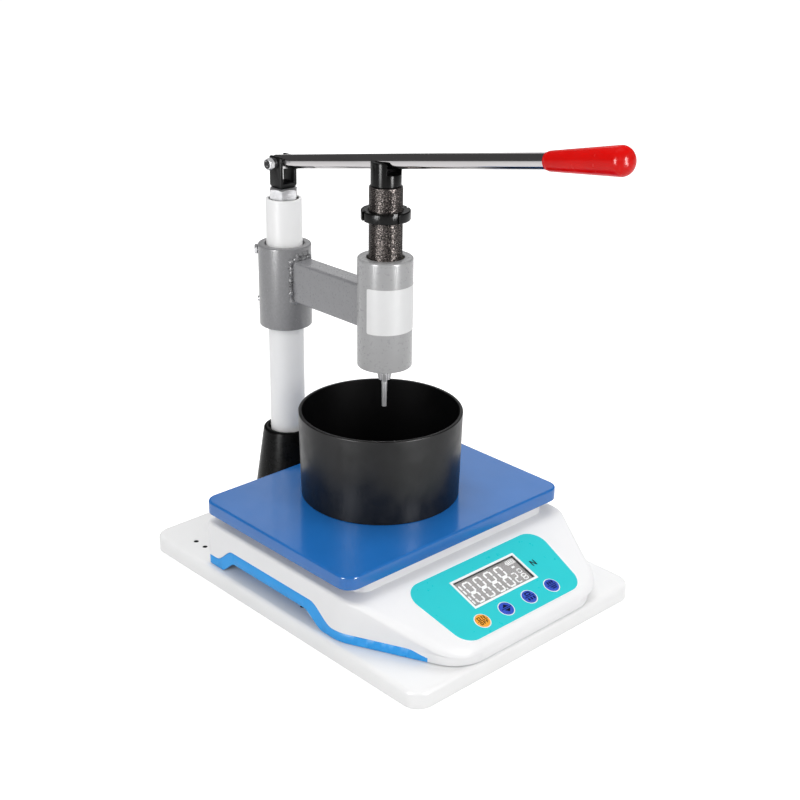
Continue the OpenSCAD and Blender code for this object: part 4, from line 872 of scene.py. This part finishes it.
# Blue lining of the finger recesses
lining_top = RECESS_TOP + 1.2
lining = recess_side[1:5] + [(-58.6, CASE_LOW), (-38.8, lining_top), (66.8, lining_top), (80.6, CASE_LOW)]
for side in (-1, 1):
    shape = loft([[(side * x, y, z) for y, z in lining] for x in (RECESS_X, 129.5)])
    piece("recess_lining", shape, TRIM_BLUE, "trim_blue")


# Blue side trim, let into the case
def trim_top(y):
    low, high = CASE_LOW + 7.6, CASE_LOW + 22.8
    z = low + (high - low) * smooth((89 - y) / 25) * smooth((y + 73.5) / 28)
    return z - 4.6 * smooth((-138.5 - y) / 17)


def trim_foot(y):
    foot = BASE_H + 0.5
    rise = RECESS_TOP - foot - 0.3
    return foot + rise * smooth((82 - y) / 20) * smooth((y + 62) / 26)


def trim_strip(side, face, back, grow=0.0):
    """Strip along the flank from the outer face to a depth of back; a grown one has sharp edges."""
    outer_line = case_half(CASE_HALF, TAPER_LOW, -face)
    inner_line = case_half(CASE_HALF, TAPER_LOW, back)
    soft = 0.5
    stations = []
    rear, tip = 100 + grow, -155 - grow
    for i in range(len(outer_line) - 1):
        a, b, c, d = outer_line[i], outer_line[i + 1], inner_line[i], inner_line[i + 1]
        steps = max(1, round((b - a).length / 2.0))
        for k in range(steps):
            t = k / steps
            stations.append((a.lerp(b, t), c.lerp(d, t)))
    loops = []
    for o, q in stations:
        if not tip <= o.y <= rear or o.x <= 60:
            continue
        top, foot = trim_top(o.y) + grow, trim_foot(o.y) - grow
        if grow:
            corners = [(q, foot), (o, foot), (o, top), (q, top)]
        else:
            e = o + (q - o).normalized() * soft
            corners = [(q, foot), (e, foot), (o, foot + soft), (o, top - soft), (e, top), (q, top)]
        loops.append([(side * p.x, p.y, z) for p, z in corners])
    return loft(loops)


carve(case, [trim_strip(s, 3.0, 2.15, 0.15) for s in (-1, 1)])
keep(case, "case_white", "scale_upper_case")
for name, node, side in (("left_trim", "trim_left", -1), ("right_trim", "trim_right", 1)):
    piece(name, trim_strip(side, 0.3, 2.0), TRIM_BLUE, "trim_blue", node, angle=45)


# Panel: white foil, coloured print, display and keys
def foil_outline(top, foot, half, r):
    x = -1.2
    return fillet([(x + top, half), (x - top, half), (x - foot, -half), (x + foot, -half)], r, 12)


def key_holes(grow):
    return [moved(rod(KEY_R + grow, -3, 3, 48), place) for place in AT_KEYS]


foil = solid("panel_foil", plate(foil_outline(84.25, 73.25, 37, 17), 0.0, 0.38), FOIL_WHITE)
carve(foil, [lcd_box(0, -3)] + key_holes(0.1))
teal = solid("panel_print", plate(foil_outline(83.75, 72.85, 36.6, 16.6), 0.3, 0.5), TEAL)
carve(teal, [lcd_box(LCD_FRAME, -3)] + key_holes(1.0))
on_panel = Matrix.Translation(Vector((0, PANEL_Y, PANEL_Z)) * MM) @ turned(TILT, "X")
for obj in (foil, teal):
    obj.data.transform(on_panel)
keep(foil, "overlay_teal")
keep(teal, "overlay_teal", "panel_overlay")


def panel_piece(name, shape, place, *rest, body="stand"):
    piece(name, moved(moved(shape, place), ON_PANEL), *rest, body=body)


def lcd_rect(grow, r=0.4):
    return rect(LCD_W + grow, LCD_H + grow, r, 3)


def lcd_ring(inner, outer, z0, z1):
    corners = ((inner, z0), (outer, z0), (outer, z1), (inner, z1))
    return loft([at_height(lcd_rect(grow), z) for grow, z in corners], "ring")


panel_piece("display_frame", lcd_ring(0, 3.9, 0.38, 0.75), AT_LCD, FOIL_WHITE, "overlay_teal")
panel_piece("display_wall", lcd_ring(-0.2, 3.6, -2.4, -0.02), AT_LCD, BLACK_PLASTIC, "black_plastic")
pane = plate(lcd_rect(-0.4, 0.3), -1.9, -1.5)
panel_piece("display_pane", pane, AT_LCD, PANE, "window_clear", "lcd_window")

SEGMENTS = {"0": "abcdef", "1": "bc", "2": "abged", "8": "abcdefg"}


def segment(a, b, t):
    """Bar with pointed ends between two points."""
    u = (b - a).normalized()
    v = Vector((-u.y, u.x)) * t / 2
    e = u * t / 2
    return [a, a + e + v, b - e + v, b, b - e - v, a + e - v]


def digit(char, x, y, w, h, t):
    gap, mid = 0.18, h / 2
    spots = {"a": ((0, h), (w, h)), "b": ((w, h), (w, mid)), "c": ((w, mid), (w, 0)), "d": ((0, 0), (w, 0)),
             "e": ((0, mid), (0, 0)), "f": ((0, h), (0, mid)), "g": ((0, mid), (w, mid))}
    loops = []
    for s in SEGMENTS[char]:
        a, b = Vector(spots[s][0]), Vector(spots[s][1])
        u = (b - a).normalized() * gap
        loops.append([(p.x + x, p.y + y) for p in segment(a + u, b - u, t)])
    return loops


def plates(loops, z0, z1):
    return joined(*[plate(loop, z0, z1) for loop in loops])


def bar(x, y, w, h):
    return [(x - w / 2, y - h / 2), (x + w / 2, y - h / 2), (x + w / 2, y + h / 2), (x - w / 2, y + h / 2)]


reading = []
for first, foot, tall in ((-27.8, 0.5, 11.4), (-28.4, -11.4, 10.4)):
    for i, c in enumerate("10000"):
        reading += digit(c, first + 13.0 * (i - 1) + (1.7 if i == 0 else 0), foot, 7.0, tall, 1.75)
reading.append(bar(6.4, -11.4, 1.5, 1.5))
reading += digit("2", 21.6, -11.2, 4.6, 10.8, 1.2)
reading += digit("8", 29.8, -11.2, 4.6, 6.2, 1.1)
reading += digit("0", 30.4, -2.9, 4.0, 4.2, 0.9)
reading += [bar(32.4, y, 10.4, 0.7) for y in (13.3, 8.9)] + [bar(x, 11.1, 0.7, 4.6) for x in (27.5, 37.3)]
reading += [bar(29.4 + 2.1 * i, 11.1, 1.2, 3.0) for i in range(4)]
reading += [bar(26.4, 11.1, 0.8, 2.0), bar(30.2, 5.2, 3.4, 2.0)]
panel_piece("display_digits", plates(reading, -2.48, -2.3), AT_LCD, DIGIT_WHITE, "display_grey")

unit_sign = [[(0, 0), (1.3, 0), (1.3, 6.4), (0, 6.4)], [(4.1, 0), (5.4, 0), (5.4, 6.4), (4.1, 6.4)],
             [(1.3, 6.4), (1.3, 4.3), (4.1, 0), (4.1, 2.1)]]
panel_piece("unit_sign", plates(unit_sign, 0.49, 0.56), shift(45.8, 2.0, 0), MARK_DARK, "overlay_teal")


def power_marks():
    """ON above OFF, with a line between them."""
    t = 0.62
    marks = [bar(x, 2.2, t, 2.8) for x in (-2.9, -0.9, 0.7, 2.9)]
    marks += [bar(-1.9, y, 2.0, t) for y in (3.3, 1.1)] + [[(0.5, 3.6), (1.2, 3.6), (3.1, 0.8), (2.4, 0.8)]]
    marks += [bar(x, -2.2, t, 2.6) for x in (-3.3, -1.8, -0.5, 1.8)]
    marks += [bar(-2.55, -1.2, 1.5, t), bar(-2.55, -3.2, 1.5, t)]
    for x in (0.3, 2.6):
        marks += [bar(x, -1.2, 1.5, t), bar(x - 0.1, -2.2, 1.2, t)]
    return marks


# Marks above and below the line on each key
ARROWS = [[(-2.6, 1.0), (2.6, 1.0), (0, 3.8)], [(-2.6, -1.0), (0, -3.8), (2.6, -1.0)]]
FRAME = [bar(0, y, 4.6, 0.8) for y in (3.6, 1.3)] + [bar(x, 2.4, 0.8, 2.6) for x in (-1.9, 1.9)]
FRAME += [bar(x, -2.4, 1.3, 2.4) for x in (-2.4, 0, 2.4)]
BARS = [bar(x, 2.4, 1.2, 2.6) for x in (-2.0, 0, 2.0)] + [bar(0, -1.7, 5.6, 0.9), bar(0, -3.3, 4.0, 0.9)]
BLUE = (KEY_BLUE, MARK_NAVY, "key_blue")
KEYS = (("key_power", KEY_ORANGE, MARK_BROWN, "key_orange", power_marks()), ("key_left", *BLUE, ARROWS),
        ("key_middle", *BLUE, FRAME), ("key_right", *BLUE, BARS))
cap = [(0, -3.8), (KEY_R + 1.5, -3.8), (KEY_R + 1.5, -2.6), (KEY_R, -2.6), (KEY_R, KEY_TOP - 0.55)]
cap += [(KEY_R - 0.15, KEY_TOP - 0.3), (KEY_R - 0.5, KEY_TOP - 0.1), (KEY_R - 1.1, KEY_TOP), (0, KEY_TOP)]
for place, (node, mat, mark_mat, slot, marks) in zip(AT_KEYS, KEYS):
    panel_piece(node + "_cap", lathe(cap, 56, False), place, mat, slot, node, body=node)
    marks = [[(1.3 * x, 1.15 * y) for x, y in loop] for loop in [bar(0, 0, 8.6, 0.6)] + marks]
    marks = plates(marks, KEY_TOP - 0.02, KEY_TOP + 0.05)
    panel_piece(node + "_marks", marks, place, mark_mat, slot, body=node)

# Tray and cup
tray = moved(pan(TRAY_W, TRAY_D, TRAY_RIM, 13, 1.7, 1.5), shift(TRAY_X, TRAY_Y, TRAY_TOP - TRAY_RIM))
piece("scale_tray", tray, TRAY_BLUE, "tray_blue", "tray", body="tray")
cup = [(0, 0), (CUP_R - CUP_DRAFT, 0), (CUP_R, CUP_H), (CUP_BORE, CUP_H), (CUP_BORE - CUP_DRAFT, CUP_FLOOR),
       (0, CUP_FLOOR)]
cup = fillet(cup, [0, 0.8, 0.9, 0.7, 2.5, 0], 6, False)
cup = [(r, z + TRAY_TOP) for r, z in cup]
cup = solid("mortar_cup", moved(lathe(cup, 144, False), shift(CUP_X, CUP_Y, 0)), CUP_BLACK)
# The inner faces take the darker copy: painted shade inside the cup.
cup.data.materials.append(CUP_SHADED_INSIDE)
for face in cup.data.polygons:
    x, y, z = face.center / MM
    if hypot(x - CUP_X, y - CUP_Y) < CUP_BORE + 0.05 and z > TRAY_TOP + CUP_FLOOR - 0.1:
        face.material_index = 1
keep(cup, "cup_black", "container", body="container")

# Finish of the solids that stay as they are
FINISH = {"base_stiffener": WHITE_PAINT, "post_socket_screws": DARK_ZINC_AND_SHADE, "spindle_bushes": BRASS,
          "scale_lower_case": SHELL_GREY, "lcd_module": DISPLAY, "main_board": BOARD, "board_screws": ZINC,
          "key_switches": BLACK_PLASTIC, "load_cell": ALLOY, "load_cell_screws": DARK_ZINC_AND_SHADE, "spider": ALLOY,
          "tray_pads": RUBBER, "battery": BLACK_PLASTIC, "charge_jack": BLACK_PLASTIC, "scale_feet": RUBBER,
          "case_screws": ZINC}
for node, mat in FINISH.items():
    mesh = nodes[node].data
    mesh.materials.clear()
    mesh.materials.append(mat)

# Floor, light and camera
FLOOR_SEEN, FLOOR_MIRRORED, FLOOR_R = 0.53, 0.2, 9000


def blend(n, a, b, output):
    """Shader a, with b for the rays that show the background: camera, glossy and transmission rays."""
    path = n.add("LightPath").outputs
    seen = n.math("MAXIMUM", path["Is Camera Ray"], path["Is Glossy Ray"])
    seen = n.math("MAXIMUM", seen, path["Is Transmission Ray"])
    both = n.add("MixShader", seen, a.outputs[0], b.outputs[0])
    n.feed(n.tree.nodes[output].inputs["Surface"], both.outputs[0])


n = Nodes(bpy.data.materials.new("floor"))
n.shade(Base_Color=(0.8, 0.8, 0.8, 1), Roughness=0.9, Specular_IOR_Level=0.0)
direct = n.add("LightPath").outputs["Is Camera Ray"]
glow = n.add("Emission", Strength=n.spread(direct, FLOOR_MIRRORED, FLOOR_SEEN, 0, 1))
blend(n, n.bsdf, n.add("AddShader", n.bsdf.outputs[0], glow.outputs[0]), "Material Output")
floor = solid("floor", (circle(FLOOR_R, -0.2, 96), [tuple(range(96))]), n.owner)

# Mirrored surroundings: a white horizon under a dim ceiling, and a bright wall behind the object on its right
world = bpy.data.worlds.new("studio")
scene.world = world
n = Nodes(world)
ambient = n.tree.nodes["Background"]
n.feed(ambient.inputs["Color"], WHITE)
n.feed(ambient.inputs["Strength"], 0.63)
around = n.add("TexCoord").outputs["Generated"]
height = n.add("SeparateXYZ", around).outputs["Z"]
across = n.add("VectorMath", around, (-0.713, 0.701, 0), operation="DOT_PRODUCT").outputs["Value"]
aside = n.math("ABSOLUTE", across)
wall = n.math("MULTIPLY", n.spread(height, 0, 1, 0.25, 0.28), n.spread(height, 1, 0, 0.52, 0.56))
wall = n.math("MULTIPLY", wall, n.spread(aside, 0.95, 0, 0.15, 0.165))
lit = n.math("MAXIMUM", wall, n.spread(height, 0.95, 0.08, 0.0, 0.025))
direct = n.add("LightPath").outputs["Is Camera Ray"]
backdrop = n.add("Background", Color=n.mix(direct, lit, WHITE), Strength=1.0)
blend(n, ambient, backdrop, "World Output")


def lamp(name, place, aim_z, size, power, strip=False):
    """Lamp that gives light but isn't mirrored, or a bright strip that only shows as a reflection."""
    light = bpy.data.lights.new(name, "AREA")
    light.shape = "RECTANGLE"
    light.size, light.size_y = size
    light.energy = power
    obj = bpy.data.objects.new(name, light)
    obj.location = place
    obj.rotation_euler = (Vector((0, 0, aim_z)) - Vector(place)).to_track_quat("-Z", "Y").to_euler()
    obj.visible_glossy = strip
    obj.visible_diffuse = not strip
    scene.collection.objects.link(obj)


lamp("left", (-1.85, -0.15, 1.05), 0.15, (1.0, 1.0), 5.5)
lamp("front", (0.1, -1.95, 1.0), 0.15, (1.0, 1.0), 5.5)
lamp("near", (-1.25, -1.35, 1.35), 0.2, (1.2, 1.2), 6.5)
lamp("side", (1.7, -1.2, 1.2), 0.15, (1.2, 1.2), 6.5)
lamp("top", (0.2, 0.3, 2.3), 0.1, (1.4, 1.4), 17)
lamp("rear", (1.5, 1.4, 1.4), 0.15, (1.0, 1.0), 6)
lamp("left_strip", (-1.85, -0.15, 0.62), 0.3, (0.5, 1.2), 60, strip=True)
lamp("front_strip", (0.1, -1.95, 0.62), 0.3, (0.5, 1.2), 85, strip=True)

# Camera at the photograph's view
AZIMUTH, ELEVATION, ROLL = radians(-43.43), radians(22.62), radians(0.77)
DISTANCE, FOCAL_PIXELS, PICTURE, SENSOR = 1221.61, 1379.71, 800, 36.0
AIM = Vector((0, -15.83, 179.65))
back = Vector((sin(AZIMUTH) * cos(ELEVATION), -cos(AZIMUTH) * cos(ELEVATION), sin(ELEVATION)))
level = Vector((cos(AZIMUTH), sin(AZIMUTH), 0))
plumb = back.cross(level)
right = level * cos(ROLL) + plumb * sin(ROLL)
up = plumb * cos(ROLL) - level * sin(ROLL)
eye = (AIM + back * DISTANCE) * MM
camera = bpy.data.cameras.new("camera")
camera.sensor_width = SENSOR
camera.lens = FOCAL_PIXELS / PICTURE * SENSOR
viewer = bpy.data.objects.new("camera", camera)
viewer.matrix_world = Matrix([(*row, 0) for row in (right, up, back)] + [(*eye, 1)]).transposed()
scene.collection.objects.link(viewer)
scene.camera = viewer
scene.view_settings.view_transform = "Standard"
